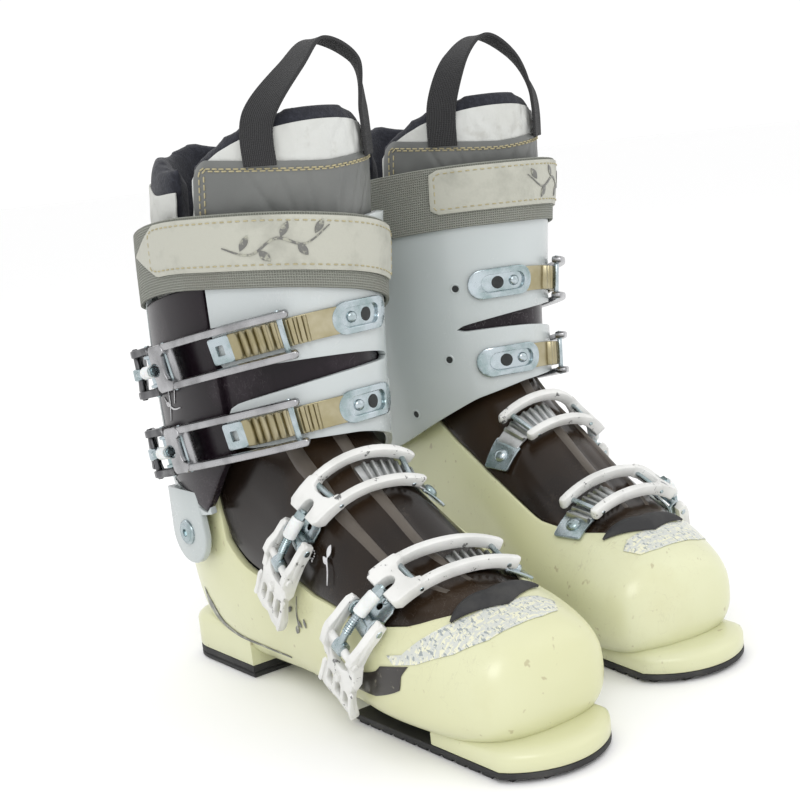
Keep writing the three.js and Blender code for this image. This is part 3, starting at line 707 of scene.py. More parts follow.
def toeTreadMesh():
    k = treadBlock
    back = soleSize["treadBack"]
    levels = [(0.3, 2.2), (0, 2.6), (0, 4.6), (0.3, 5)]
    base = stacked("tread", [(noseOutline(back, inset), z) for inset, z in levels])
    blocks = []
    for row in range(k["count"]):
        y = -(back + k["first"] + row * k["pitch"])
        half = soleSize["width"] / 2 - k["margin"]
        beyond = -y - (soleSize["length"] - soleSize["noseRadius"])
        if beyond > 0:
            reach = (soleSize["noseRadius"] - 2) ** 2 - (beyond + k["long"]) ** 2
            half = min(half, math.sqrt(max(0, reach)))
        for x0, x1 in ((-half, -k["groove"]), (k["groove"], half)):
            if x1 - x0 >= k["least"]:
                blocks.append(treadBlockMesh(x0, x1, y - k["long"], y))
    return joinedMeshes("toeTread", [base] + blocks)


def treadBlockMesh(x0, x1, y0, y1):
    levels = []
    for inset, z in ((0.6, 0), (0.1, 0.6), (0, 2.4)):
        left, right, front, back = x0 + inset, x1 - inset, y0 + inset, y1 - inset
        levels.append(([(left, back), (right, back), (right, front), (left, front)], z))
    return stacked("block", levels)


def heelTreadMesh():
    front = soleSize["heelFront"]
    levels = [(1.0, 0), (0, 1.0), (0, 2.4), (0.8, 2.9), (0.8, 3.5), (0, 4.0), (0, 6.5), (0.4, 7)]
    return stacked("heelTread", [(heelOutline(front, inset), z) for inset, z in levels])


# instep cover, with its lengthwise ribs and the folds between them
instepCover = {"rows": 60, "columns": 56, "thick": 3.7, "topRing": 13.4, "margin": -0.9,
               "ribs": (-0.30, 0.10), "ribHeight": 1.5, "ribHalf": 0.055, "ribLift": 0.3, "ribWall": 1.4}


def coverSpot(u, v):
    margin = instepCover["margin"]
    first = windowOuter[0][0] - 0.07 * margin
    t = first + (instepCover["topRing"] - first) * u
    outer = lookup(windowOuter, t) + margin
    return t, -outer + (outer + lookup(windowInner, t) + margin) * v


def ribAt(v, u):
    middle = v * 2 - 1
    rise = 0.0
    for rib in instepCover["ribs"]:
        away = abs(middle - rib) / instepCover["ribHalf"]
        rise = max(rise, min(1, max(0, 1.6 - away)) ** 0.8)
    return rise * min(1, 6 * u)


def coverMesh():
    k = instepCover

    def lift(u, v):
        middle = abs(v * 2 - 1)
        crown = 0.9 * max(0, 1 - (middle / 0.75) ** 4)
        fold = 0.35 * math.sin(26 * u) * max(0, 1 - middle * 1.4)
        return -0.3 - 0.9 * (1 - crown) + 0.4 * crown + k["ribHeight"] * 0.6 * ribAt(v, u) + fold * 0.5

    mesh = patchMesh("cover", [gridOn(shell, coverSpot, k["rows"], k["columns"], lift)])
    outwards(mesh, Vector((0, -140, 40)))
    return thickened(mesh, k["thick"], 0.7)


def coverRibMesh(rib):
    # a raised, paler rib, lengthwise on the cover; it fades out at both ends
    k = instepCover
    rows = []
    for i in range(k["rows"] + 1):
        share = i / k["rows"]
        wide = k["ribHalf"] * (0.75 + 0.5 * math.sin(math.pi * share))
        fade = min(1, 14 * (1 - share), 8 * share + 0.1)
        rows.append([])
        for j in range(7):
            side = j / 3 - 1
            arch = math.sqrt(max(0, 1 - side ** 2))
            t, angle = coverSpot(0.05 + 0.93 * share, (rib + wide * side + 1) / 2)
            rows[-1].append(shell.above(t, angle, k["ribLift"] + k["ribHeight"] * arch * fade))
    mesh = patchMesh("rib", [rows])
    outwards(mesh, Vector((0, -140, 40)))
    return thickened(mesh, k["ribWall"], 0)


# black rubber seal over the toes, with two pointed tips
toeBumper = {"rows": 10, "columns": 36, "middle": -3, "reach": 35, "deep": 0.34, "ridge": 2.9, "wall": 1.2}


def bumperMesh():
    k = toeBumper
    front = windowOuter[0][0]

    def spot(u, v):
        w = 2 * v - 1
        reach = 1 - 0.93 * abs(w) ** 1.6
        middle = front + 0.12 - 0.42 * (1 - abs(w)) - 0.25 * w * w
        return middle + (2 * u - 1) * k["deep"] * reach, k["middle"] + k["reach"] * w

    def lift(u, v):
        w = abs(2 * v - 1)
        ridge = 1 - abs(2 * u - 1) ** 2.2
        return 0.6 + k["ridge"] * ridge * (1 - 0.75 * w ** 3) + 0.3

    mesh = patchMesh("bumper", [gridOn(shell, spot, k["rows"], k["columns"], lift)])
    outwards(mesh, Vector((0, -220, 40)))
    return thickened(mesh, k["wall"], 0.3)


# the cuff: two fingers in front with a tapering slot between them, and a wing behind the insert
cuffWall = {"columns": 84, "bevel": 0.8, "from": -66, "to": 240, "corner": 13, "slotEnd": 35.5,
            "slotRing": 2.66, "wing": 32, "wingColumns": 12}


def slotHalf(angle):
    if angle >= cuffWall["slotEnd"]:
        return 0.0
    v = (angle + 80) / 114
    blunt = min(1, (cuffWall["slotEnd"] - angle) / 4) ** 0.5
    return (0.07 + 0.36 * (1 - min(1, v))) * blunt


def cornerDrop(away, span, depth):
    # how far an edge comes in near its end, along a quarter round
    part = max(0, 1 - away / span)
    return depth * (1 - math.sqrt(max(0, 1 - part ** 2)))


def cuffMesh():
    k = cuffWall
    wall = wallOf["cuff"]
    start, end = k["from"], k["to"]
    angles = [start + (end - start) * j / k["columns"] for j in range(k["columns"] + 1)]
    wingAngles = [end + k["wing"] * j / k["wingColumns"] for j in range(k["wingColumns"] + 1)]

    def lowEdge(angle):
        return lookup(cuffLow, angle) + cornerDrop(angle - start, k["corner"], 0.35)

    def highEdge(angle):
        front = cornerDrop(angle - start, k["corner"], 0.5)
        return lookup(cuffHigh, angle) - front - cornerDrop(end - angle, 10, 0.35)

    def slotEdge(angle):
        return slotHalf(angle) + cornerDrop(angle - start, 9, 0.3)

    def slotLow(angle):
        return k["slotRing"] - slotEdge(angle)

    def slotHigh(angle):
        return k["slotRing"] + slotEdge(angle)

    def wingHigh(angle):
        return lookup(insertLow, angle - 360) - 0.05

    def band(angle):
        return max(lowEdge(angle) + 0.3, wingHigh(end) + 0.5 * (1 - (angle - start) / (end - start)))

    def span(low, high, rows, across=angles):
        return [[cuff.above(low(a) + (high(a) - low(a)) * i / rows, a, wall) for a in across]
                for i in range(rows + 1)]

    wing = span(lambda a: lookup(cuffLow, a), wingHigh, 4, wingAngles)
    patches = [span(lowEdge, band, 4), span(band, slotLow, 8), span(slotHigh, highEdge, 14), wing]
    mesh = patchMesh("cuff", patches)
    outwards(mesh, Vector((0, -70, 200)))
    return thickened(mesh, wall, k["bevel"])


# the cuff's ankle lobes
earShape = {"inner": 44.2, "outer": 48.9, "radius": 18, "top": 108}


def earMesh(side):
    k = earShape
    forward, z = pivotAt["forward"], pivotAt["z"]

    def outline(inset):
        r = k["radius"] - inset
        points = [(forward - r, k["top"]), (forward - r, z)]
        for i in range(1, 24):
            a = math.pi + math.pi * i / 24
            points.append((forward + r * math.cos(a), z + r * math.sin(a)))
        points += [(forward + r, z), (forward + r - 4, k["top"])]
        return points

    points, faces = [], []
    low, high = k["inner"], k["outer"]
    levels = [(0.8, low), (0, low + 0.8), (0, high - 1.2), (0.4, high - 0.4), (1.4, high)]
    count = len(outline(0))
    for inset, x in levels:
        points += [Vector((side * x, -f, h)) for f, h in outline(inset)]
    for i in range(len(levels) - 1):
        for j in range(count):
            a, b = i * count + j, i * count + (j + 1) % count
            faces.append((a, b, b + count, a + count))
    faces += [tuple(range(count)), tuple(range((len(levels) - 1) * count, len(levels) * count))]
    return cleaned(newMesh("ear", points, faces), 0.001)


# the dark insert: its face, and the two layers that reach under the pearl cuff
cuffInsert = {
    "face": {"from": -118.5, "span": 51, "top": 4.95, "wall": 4.8},
    "under": {"from": -127, "span": 87, "ring": 1.45, "rise": 3.4, "rows": 16, "columns": 30, "lift": -0.6},
    "lining": {"from": -50, "span": 86, "ring": 1.9, "rise": 1.6, "rows": 8, "columns": 34, "lift": -0.7},
    "layerWall": 2.8,
}


def insertMesh():
    def face(u, v):
        k = cuffInsert["face"]
        angle = k["from"] + k["span"] * v
        low = lookup(insertLow, angle)
        return low + (k["top"] - low) * u, angle

    upper = patchMesh("insert", [gridOn(cuff, face, 40, 34, wallOf["insert"])])
    outwards(upper, Vector((0, -70, 160)))
    parts = [thickened(upper, cuffInsert["face"]["wall"], 0.6)]
    for name in ("under", "lining"):
        k = cuffInsert[name]

        def spot(u, v):
            return k["ring"] + k["rise"] * u, k["from"] + k["span"] * v

        layer = patchMesh(name, [gridOn(cuff, spot, k["rows"], k["columns"], k["lift"])])
        outwards(layer, Vector((0, -70, 160)))
        parts.append(thickened(layer, cuffInsert["layerWall"], 0.4))
    return joinedMeshes("insert", parts)


# ankle pivots: washer, domed head and hexagon socket
pivotHead = {
    "profile": [(0, 36), (4.6, 36), (4.6, 48.9), (7, 48.9), (7.1, 49.4), (6.8, 50.2), (5.8, 50.8),
                (5.2, 50.6), (4.9, 50.9), (3.9, 51.1), (2.7, 51.1)],
    "socket": (2.4, 49.8),
}


def pivotMesh(side):
    steps = 36
    points, faces = [], []
    profile = pivotHead["profile"]
    radius, depth = pivotHead["socket"]
    rings = [[(r, 0, x)] * steps if r == 0 else [(r, i, x) for i in range(steps)] for r, x in profile]

    def spot(r, i, x, hexagon=False):
        a = 2 * math.pi * i / steps
        if hexagon:
            r = r * math.cos(math.pi / 6) / math.cos((a % (math.pi / 3)) - math.pi / 6)
        return Vector((side * x, -pivotAt["forward"] + r * math.cos(a), pivotAt["z"] + r * math.sin(a)))

    for ring in rings:
        points += [spot(*one) for one in ring]
    points += [spot(radius, i, profile[-1][1], True) for i in range(steps)]
    points += [spot(radius, i, depth, True) for i in range(steps)]
    rows = len(rings) + 2
    for i in range(rows - 1):
        for j in range(steps):
            a, b = i * steps + j, i * steps + (j + 1) % steps
            faces.append((a, b, b + steps, a + steps))
    faces.append(tuple(range((rows - 1) * steps, rows * steps)))
    return cleaned(newMesh("pivot", points, faces), 0.001)


# node trees for what repeats
def nodeTree(name, inputs):
    tree = bpy.data.node_groups.new(name, "GeometryNodeTree")
    tree.interface.new_socket("Geometry", in_out="INPUT", socket_type="NodeSocketGeometry")
    for label, kind, value in inputs:
        socket = tree.interface.new_socket(label, in_out="INPUT", socket_type=kind)
        if value is not None:
            socket.default_value = value
    tree.interface.new_socket("Geometry", in_out="OUTPUT", socket_type="NodeSocketGeometry")
    start, end = tree.nodes.new("NodeGroupInput"), tree.nodes.new("NodeGroupOutput")
    return tree, start, end


def closeTree(tree, start, end, instances):
    real = tree.nodes.new("GeometryNodeRealizeInstances")
    paint = tree.nodes.new("GeometryNodeSetMaterial")
    tree.links.new(instances, real.inputs["Geometry"])
    tree.links.new(real.outputs["Geometry"], paint.inputs["Geometry"])
    tree.links.new(start.outputs["Finish"], paint.inputs["Material"])
    tree.links.new(paint.outputs["Geometry"], end.inputs["Geometry"])
    return tree


def placedPieces(tree, start, points, rotation=None):
    info = tree.nodes.new("GeometryNodeObjectInfo")
    put = tree.nodes.new("GeometryNodeInstanceOnPoints")
    tree.links.new(start.outputs["Piece"], info.inputs["Object"])
    tree.links.new(info.outputs["Geometry"], put.inputs["Instance"])
    tree.links.new(points, put.inputs["Points"])
    tree.links.new(start.outputs["Size"], put.inputs["Scale"])
    if rotation:
        tree.links.new(rotation, put.inputs["Rotation"])
    return put.outputs["Instances"]


common = [("Piece", "NodeSocketObject", None), ("Size", "NodeSocketFloat", 1.0),
          ("Finish", "NodeSocketMaterial", None)]


def rowTree():
    # a straight row of copies along X
    sizes = [("Count", "NodeSocketInt", 5), ("Pitch", "NodeSocketFloat", 1.0)]
    tree, start, end = nodeTree("rowOfPieces", common + sizes)
    line = tree.nodes.new("GeometryNodeMeshLine")
    offset = tree.nodes.new("ShaderNodeCombineXYZ")
    tree.links.new(start.outputs["Pitch"], offset.inputs["X"])
    tree.links.new(offset.outputs["Vector"], line.inputs["Offset"])
    tree.links.new(start.outputs["Count"], line.inputs["Count"])
    return closeTree(tree, start, end, placedPieces(tree, start, line.outputs["Mesh"]))


def runTree():
    # copies at even steps along a drawn line, each turned along it
    tree, start, end = nodeTree("runOfStitches", common + [("Spacing", "NodeSocketFloat", 4.0)])
    curve = tree.nodes.new("GeometryNodeMeshToCurve")
    even = tree.nodes.new("GeometryNodeResampleCurve")
    even.mode = "LENGTH"
    tangent = tree.nodes.new("GeometryNodeInputTangent")
    turn = tree.nodes.new("FunctionNodeAlignRotationToVector")
    turn.axis = "X"
    tree.links.new(start.outputs["Geometry"], curve.inputs["Mesh"])
    tree.links.new(curve.outputs["Curve"], even.inputs["Curve"])
    tree.links.new(start.outputs["Spacing"], even.inputs["Length"])
    tree.links.new(tangent.outputs["Tangent"], turn.inputs["Vector"])
    placed = placedPieces(tree, start, even.outputs["Curve"], turn.outputs["Rotation"])
    return closeTree(tree, start, end, placed)


def aimedTree():
    # copies on points, each turned to the direction stored with its point
    tree, start, end = nodeTree("rivetsOnPoints", common)
    aim = tree.nodes.new("GeometryNodeInputNamedAttribute")
    aim.data_type = "FLOAT_VECTOR"
    aim.inputs["Name"].default_value = "aim"
    turn = tree.nodes.new("FunctionNodeAlignRotationToVector")
    turn.axis = "Z"
    tree.links.new(aim.outputs["Attribute"], turn.inputs["Vector"])
    placed = placedPieces(tree, start, start.outputs["Geometry"], turn.outputs["Rotation"])
    return closeTree(tree, start, end, placed)


trees = {"row": rowTree(), "run": runTree(), "aimed": aimedTree()}


def grown(kind, mesh, pieceMesh, **values):
    # runs a tree on a mesh and gives the result as a plain mesh
    tree = trees[kind]
    pattern = bpy.data.objects.new("pattern", pieceMesh)
    thing = bpy.data.objects.new("work", mesh)
    for one in (pattern, thing):
        bpy.context.scene.collection.objects.link(one)
    modifier = thing.modifiers.new("grow", "NODES")
    modifier.node_group = tree
    values = {"Piece": pattern, **values}
    for item in tree.interface.items_tree:
        if item.in_out == "INPUT" and item.name in values:
            modifier[item.identifier] = values[item.name]
    made = evaluated(thing)
    bpy.data.objects.remove(pattern)
    return made


def pointMesh(points, aims):
    mesh = newMesh("points", points, [])
    layer = mesh.attributes.new("aim", "FLOAT_VECTOR", "POINT")
    for i, aim in enumerate(aims):
        layer.data[i].vector = aim
    return mesh


def lineMesh(points, closed=False):
    mesh = bpy.data.meshes.new("line")
    edges = [(i, i + 1) for i in range(len(points) - 1)] + ([(len(points) - 1, 0)] if closed else [])
    mesh.from_pydata([tuple(p) for p in points], edges, [])
    return mesh


def lathed(profile, steps=20, axis="Z"):
    # a turned solid: profile is (radius, height) from the axis to the axis
    points, faces = [], []
    for r, h in profile:
        for i in range(steps):
            a = 2 * math.pi * i / steps
            x, y = r * math.cos(a), r * math.sin(a)
            points.append((x, y, h) if axis == "Z" else (h, x, y) if axis == "X" else (x, h, y))
    for i in range(len(profile) - 1):
        for j in range(steps):
            a, b = i * steps + j, i * steps + (j + 1) % steps
            faces.append((a, b, b + steps, a + steps))
    faces += [tuple(range(steps)), tuple(range((len(profile) - 1) * steps, len(profile) * steps))]
    return cleaned(newMesh("turned", points, faces), 1e-4)


stitch = {"length": 2.9, "radius": 0.42, "sides": 8}


def oneStitch():
    radius = stitch["radius"]
    half = stitch["length"] / 2 - radius
    turns = [math.radians(a) for a in (12, 50, 90)]
    arc = [(radius * math.sin(a), -half - radius * math.cos(a)) for a in turns]
    return lathed(arc + [(r, -h) for r, h in reversed(arc)], stitch["sides"], "X")


stitchMesh = oneStitch()
rivetProfile = [(0.01, -0.6), (2.3, -0.6), (2.4, 0.1), (2.2, 0.7), (1.6, 1.2), (0.8, 1.45), (0.01, 1.5)]
domeRivet = lathed(rivetProfile, 20)


# padded pieces: swollen by cloth pressure from a slightly smaller start
padding = {"voxel": 0.0032, "pressure": 4.0, "frames": 20, "cap": 0.0032, "stretch": 25, "bending": 1.5}


def swollen(mesh):
    k = padding
    small = mesh.copy()
    small.transform(Matrix.Scale(0.001, 4))
    thing = bpy.data.objects.new("pad", small)
    bpy.context.scene.collection.objects.link(thing)
    remesh = thing.modifiers.new("remesh", "REMESH")
    remesh.mode = "VOXEL"
    remesh.voxel_size = k["voxel"]
    base = evaluated(thing)
    start = [v.co.copy() for v in base.vertices]
    thing = bpy.data.objects.new("pad", base.copy())
    bpy.context.scene.collection.objects.link(thing)
    cloth = thing.modifiers.new("cloth", "CLOTH")
    cloth.settings.use_pressure = True
    cloth.settings.uniform_pressure_force = k["pressure"]
    cloth.settings.effector_weights.gravity = 0
    cloth.settings.tension_stiffness = k["stretch"]
    cloth.settings.compression_stiffness = k["stretch"]
    cloth.settings.bending_stiffness = k["bending"]
    cloth.point_cache.frame_start, cloth.point_cache.frame_end = 1, k["frames"]
    for step in range(1, k["frames"] + 1):
        bpy.context.scene.frame_set(step)
    moved = evaluated(thing)
    bpy.context.scene.frame_set(1)
    for v, old, new in zip(base.vertices, start, moved.vertices):
        shift = new.co - old
        v.co = old + (shift if shift.length < k["cap"] else shift.normalized() * k["cap"])
    base.transform(Matrix.Scale(1000, 4))
    return shaped(base, ("SMOOTH", {"factor": 0.5, "iterations": 3}),
                  ("SUBSURF", {"levels": 1, "render_levels": 1}))


probe = {"from": 6, "far": 25, "none": -6.0}


def heightsOn(mesh, surface, spots):
    # how high above the surface a mesh lies at each spot
    tree = BVHTree.FromPolygons([v.co for v in mesh.vertices], [tuple(p.vertices) for p in mesh.polygons])
    found = []
    for t, angle in spots:
        start = surface.above(t, angle, probe["from"])
        hit = tree.ray_cast(start, -surface.normal(t, angle), probe["far"])
        found.append(probe["from"] - hit[3] if hit[0] else probe["none"])
    return found


# below the cuff's edge a cover stays inside the cuff's wall
coverFit = {"smoothing": 4, "insideBelow": 6.6, "insideHeight": -0.9}


def coverOn(name, mesh, spot, rows, columns, lift, thick=1.0):
    # a thin sewn cover that follows a swollen pad; lift(u, v) is how far its face stands off the pad
    spots = [[spot(i / rows, j / columns) for j in range(columns + 1)] for i in range(rows + 1)]
    flat = heightsOn(mesh, cuff, [one for row in spots for one in row])
    wide = columns + 1
    heights = [flat[i * wide:(i + 1) * wide] for i in range(rows + 1)]
    for _ in range(coverFit["smoothing"]):
        heights = [[(heights[i][j] * 2 + heights[max(i - 1, 0)][j] + heights[min(i + 1, rows)][j]
                     + heights[i][max(j - 1, 0)] + heights[i][min(j + 1, columns)]) / 6 for j in range(wide)]
                   for i in range(rows + 1)]
    grid = []
    for i, row in enumerate(spots):
        grid.append([])
        for j, (t, angle) in enumerate(row):
            height = heights[i][j] + lift(i / rows, j / columns)
            if t < coverFit["insideBelow"]:
                height = min(height, coverFit["insideHeight"])
            grid[-1].append(cuff.above(t, angle, height))
    sheet = patchMesh(name, [grid])
    outwards(sheet, Vector((0, -75, 250)))
    return thickened(sheet, thick, 0.3)


collarPad = {"from": 85.5, "to": 274.5, "low": -15.0, "high": -7.0, "root": 2.05, "coverRoot": 2.2}


def collarTop(v):
    return 7.95 + 0.85 * math.sin(math.pi * v) + 0.22 * math.sin(3 * math.pi * v) ** 2


def collarSpot(u, v):
    angle = collarPad["from"] + (collarPad["to"] - collarPad["from"]) * v
    return collarPad["root"] + (collarTop(v) - collarPad["root"]) * u, angle


def collarLeatherSpot(u, v):
    angle = collarPad["from"] + 1.5 + (collarPad["to"] - collarPad["from"] - 3) * v
    top = collarTop(v) - 0.72 - 0.2 * math.sin(5 * math.pi * v) ** 2
    return collarPad["coverRoot"] + (top - collarPad["coverRoot"]) * u, angle


tonguePad = {"half": 78, "top": 8.6, "low": -15.0, "high": -7.0, "root": 2.05, "coverRoot": 2.2}


def tongueSpot(u, v):
    w = 2 * v - 1
    top = tonguePad["top"] - 0.85 * abs(w) ** 4
    return tonguePad["root"] + (top - tonguePad["root"]) * u, tonguePad["half"] * w


def tongueLeatherSpot(u, v):
    w = 2 * v - 1
    top = tonguePad["top"] - 0.42 - 0.8 * abs(w) ** 4
    return tonguePad["coverRoot"] + (top - tonguePad["coverRoot"]) * u, (tonguePad["half"] - 3) * w


def quilting(u, v):
    # the leather's pressed pattern of soft rings
    return 0.9 + 0.25 * math.sin(70 * v) * math.sin(46 * u) + 0.16 * math.sin(121 * v + 20 * u)


# the grey shield sewn on the tongue's front, higher at its sides
shield = {"low": 4.2, "top": 7.05, "half": 72, "stitchFrom": 0.15, "stitchTo": 0.90}


def shieldSpot(u, v):
    w = 2 * v - 1
    top = shield["top"] + 0.85 * abs(w) ** 1.6 - 0.3 * max(0, (abs(w) - 0.9) / 0.1) ** 2
    return shield["low"] + (top - shield["low"]) * u, shield["half"] * w


def shieldLift(u, v):
    groove = 0.0
    for side in (0.10, 0.24, 0.38):
        groove += math.exp(-((abs(2 * v - 1) - side * (0.4 + 1.3 * u)) / 0.02) ** 2)
    return 1.3 - 0.7 * min(1, groove) * min(1, 5 * (1 - u))


def shieldStitches(mesh):
    # two rows up the shield's sides and along its top
    low, high = shield["stitchFrom"], shield["stitchTo"]
    lines = []
    for inset in (0.03, 0.05):
        path = [(low + (high - low) * i / 24, inset) for i in range(25)]
        path += [(0.935 - (inset - 0.03) * 0.9, inset + (1 - 2 * inset) * i / 60) for i in range(61)]
        path += [(high - (high - low) * i / 24, 1 - inset) for i in range(25)]
        spots = [shieldSpot(u, v) for u, v in path]
        heights = heightsOn(mesh, cuff, spots)
        lines.append([cuff.above(*spot, height + 0.25) for spot, height in zip(spots, heights)])
    runs = [grown("run", lineMesh(line), stitchMesh, Spacing=3.9, Finish=finish["oldThread"])
            for line in lines]
    return joinedMeshes("stitches", runs)


# the liner's foot, inside the shell
linerBootie = {"slack": 3.4, "rows": 40, "columns": 44, "toe": 2.4, "top": 16.6, "under": 0.35}


def bootieMesh():
    k = linerBootie
    wall = Surface(insetRings(shellRings, wallOf["shell"] + k["slack"], wallOf["floor"] + k["slack"]))
    grid = []
    for i in range(k["rows"] + 1):
        row = []
        for j in range(k["columns"] + 1):
            angle = 360 * j / k["columns"]
            top = min(shellTop(angle) - k["under"], k["top"])
            row.append(wall.point(k["toe"] + (top - k["toe"]) * (i / k["rows"]) ** 0.9, angle))
        grid.append(row)
    mesh = patchMesh("bootie", [grid], grid[0][:-1])
    outwards(mesh, Vector((0, -140, 60)))
    return thickened(mesh, wallOf["bootie"], 0)


# pull loops of ribbed webbing
pullLoop = {"clear": -2.2, "root": 7.2, "back": 8.45, "angle": 36, "rise": 35, "half": 8.2, "thick": 0.95,
            "lean": {"right": 7, "left": 2}, "steps": 90}


def loopMesh(side):
    k = pullLoop
    lean = k["lean"][side]
    both = (-k["angle"], k["angle"])
    rootA, rootB = [cuff.above(k["root"], a, k["clear"]) for a in both]
    backA, backB = [cuff.above(k["back"], a, k["clear"]) for a in both]
    aim = [(cuff.point(7, a * 0.9) - cuff.point(7, a * 1.1)).normalized() for a in both]

    def shift(x, forward, z):
        return Vector((x, -forward, z))

    stops = [rootA, backA, backA.lerp(backB, 0.2 + lean * 0.01) + shift(lean * 0.5, 3, 23),
             backA.lerp(backB, 0.5) + shift(lean, 0, k["rise"]),
             backB.lerp(backA, 0.2 - lean * 0.01) + shift(lean * 0.5, 3, 24), backB, rootB]
    axes = [[p[i] for p in stops] for i in range(3)]
    steps = k["steps"]
    centre = [Vector(splineValue(axis, 6 * i / steps) for axis in axes) for i in range(steps + 1)]
    grid = []
    for i, p in enumerate(centre):
        along = (centre[min(i + 1, steps)] - centre[max(i - 1, 0)]).normalized()
        u = i / steps
        lift = min(1, max(0, 3 * min(u, 1 - u) - 0.5))
        broad = aim[0 if u < 0.5 else 1].lerp(shift(0, 1, 0), lift)
        broad = (broad - along * broad.dot(along)).normalized()
        thin = along.cross(broad)
        row = []
        for j in range(13):
            w = j / 6 - 1
            row.append(p + broad * k["half"] * w + thin * 0.5 * (1 - w * w))
        grid.append(row)
    mesh = patchMesh("loop", [grid])
    return shaped(mesh, ("SOLIDIFY", {"thickness": 2 * k["thick"], "offset": 0}),
                  ("BEVEL", {"width": 0.4, "segments": 2, "limit_method": "ANGLE"}))


# power strap and the patch sewn on its end
powerStrap = {"low": 4.1, "thick": 1.9, "halfWidth": 0.8, "rows": 12, "columns": 150, "wave": 0.25,
              "patchFrom": -108, "patchTo": 42, "patchHalf": 0.58, "patchRise": 0.16, "patchStand": 1.9,
              "patchWall": 2.0, "vineStand": 2.0}


def smoothLine(side, angle):
    # the strap's middle, with its corners rounded
    return sum(lookup(strapLine[side], angle + d) for d in (-16, -8, 0, 8, 16)) / 5


def strapMesh(side):
    k = powerStrap

    def spot(u, v):
        angle = 360 * v - 180
        return smoothLine(side, angle) + k["halfWidth"] * (2 * u - 1), angle

    def lift(u, v):
        return k["low"] + k["thick"] + k["wave"] * math.sin(9 * v * math.pi) ** 2

    mesh = patchMesh("strap", [gridOn(cuff, spot, k["rows"], k["columns"], lift)])
    outwards(mesh, Vector((0, -75, 250)))
    return thickened(mesh, k["thick"], 0.5)


def patchSpot(side):
    k = powerStrap

    def spot(u, v):
        angle = k["patchFrom"] + (k["patchTo"] - k["patchFrom"]) * v
        tip = min(1.0, 0.05 + v / 0.13, 0.8 + 8 * (1 - v))  # pointed at its start, squarer at its end
        return smoothLine(side, angle) + k["patchRise"] + k["patchHalf"] * tip * (2 * u - 1), angle

    return spot


def patchLift(u, v):
    across = abs(2 * u - 1)
    return powerStrap["low"] + powerStrap["thick"] + powerStrap["patchStand"] - 0.5 * across ** 4


def patchPieceMesh(side):
    mesh = patchMesh("patch", [gridOn(cuff, patchSpot(side), 16, 110, patchLift)])
    outwards(mesh, Vector((0, -75, 250)))
    return thickened(mesh, powerStrap["patchWall"], 0.4)


def patchStitches(side):
    spot = patchSpot(side)
    loop = [(0.10, v / 60) for v in range(6, 60)] + [(0.90, v / 60) for v in range(59, 5, -1)]
    line = lineMesh([cuff.above(*spot(u, v), patchLift(u, v) + 0.15) for u, v in loop], True)
    return grown("run", line, stitchMesh, Spacing=4.2, Size=0.85, Finish=finish["oldThread"])


# buckles: each is drawn flat as (along, across, height) from its hinge and then laid on its path
buckleAt = {
    "toe": {"surface": shell, "base": 0, "stops": [(7.2, -126), (5.85, -64), (5.05, 46)], "reach": 71,
            "teeth": 24},
    "instep": {"surface": shell, "base": 0, "stops": [(10.2, -124), (8.6, -64), (7.9, 50)], "reach": 66,
               "teeth": 24},
    "lower_cuff": {"surface": cuff, "base": 3.5, "stops": [(1.65, -172), (1.62, -103), (1.75, 26)],
                   "reach": 96, "teeth": 30},
    "upper_cuff": {"surface": cuff, "base": 3.5, "stops": [(3.5, -172), (3.45, -103), (3.6, 26)],
                   "reach": 96, "teeth": 30},
}
buckleSize = {"hinge": 6, "bailBack": 15, "bailHeight": 9.5, "pitch": 4.3, "ladderHalf": 7.0,
              "ladderTop": 2.4, "leverWiden": 1.2, "forkedLength": 50, "steelLength": 48, "rodHeight": 10.4}


def isSmall(kind):
    # the two white buckles on the shell, as against the steel ones on the cuff
    return kind in ("toe", "instep")


class Path:
    # a smooth line over a surface, through a buckle's three stops; its zero is at the hinge
    def __init__(self, place):
        steps = 48
        rings, angles = zip(*place["stops"])
        spots = [(splineValue(rings, 2 * i / steps), splineValue(angles, 2 * i / steps))
                 for i in range(steps + 1)]
        self.points = [place["surface"].above(*spot, place["base"]) for spot in spots]
        self.outs = [place["surface"].normal(*spot) for spot in spots]
        self.runs = [0.0]
        for a, b in zip(self.points, self.points[1:]):
            self.runs.append(self.runs[-1] + (b - a).length)
        zero = self.runs[steps // 2]
        self.runs = [run - zero for run in self.runs]
        self.end = self.runs[-1]

    def at(self, along, across, height):
        i = 1
        while i < len(self.runs) - 1 and self.runs[i] < along:
            i += 1
        share = (along - self.runs[i - 1]) / (self.runs[i] - self.runs[i - 1])
        ahead = (self.points[i] - self.points[i - 1]).normalized()
        before = (self.points[i - 1] - self.points[max(i - 2, 0)]).normalized() if i > 1 else ahead
        ahead = before.lerp(ahead, min(1, max(0, share + 0.5))).normalized()
        out = self.outs[i - 1].lerp(self.outs[i], share).normalized()
        side = ahead.cross(out).normalized()
        return self.points[i - 1].lerp(self.points[i], share) + side * across + out * height


def sliced(work, axis, step):
    # cuts a flat mesh across at even steps, so that it can bend
    low = min(v.co[axis] for v in work.verts)
    high = max(v.co[axis] for v in work.verts)
    across = [0, 0, 0]
    across[axis] = 1
    for i in range(1, int((high - low) / step) + 1):
        at = [0, 0, 0]
        at[axis] = low + step * i
        bmesh.ops.bisect_plane(work, geom=work.verts[:] + work.edges[:] + work.faces[:], dist=1e-5,
                               plane_co=at, plane_no=across)


def laid(path, meshes):
    # bends the flat meshes along the path
    mesh = joinedMeshes("laid", meshes)
    work = bmesh.new()
    work.from_mesh(mesh)
    sliced(work, 0, 4.0)
    for v in work.verts:
        v.co = path.at(*v.co)
    bmesh.ops.recalc_face_normals(work, faces=work.faces)
    work.to_mesh(mesh)
    work.free()
    return mesh


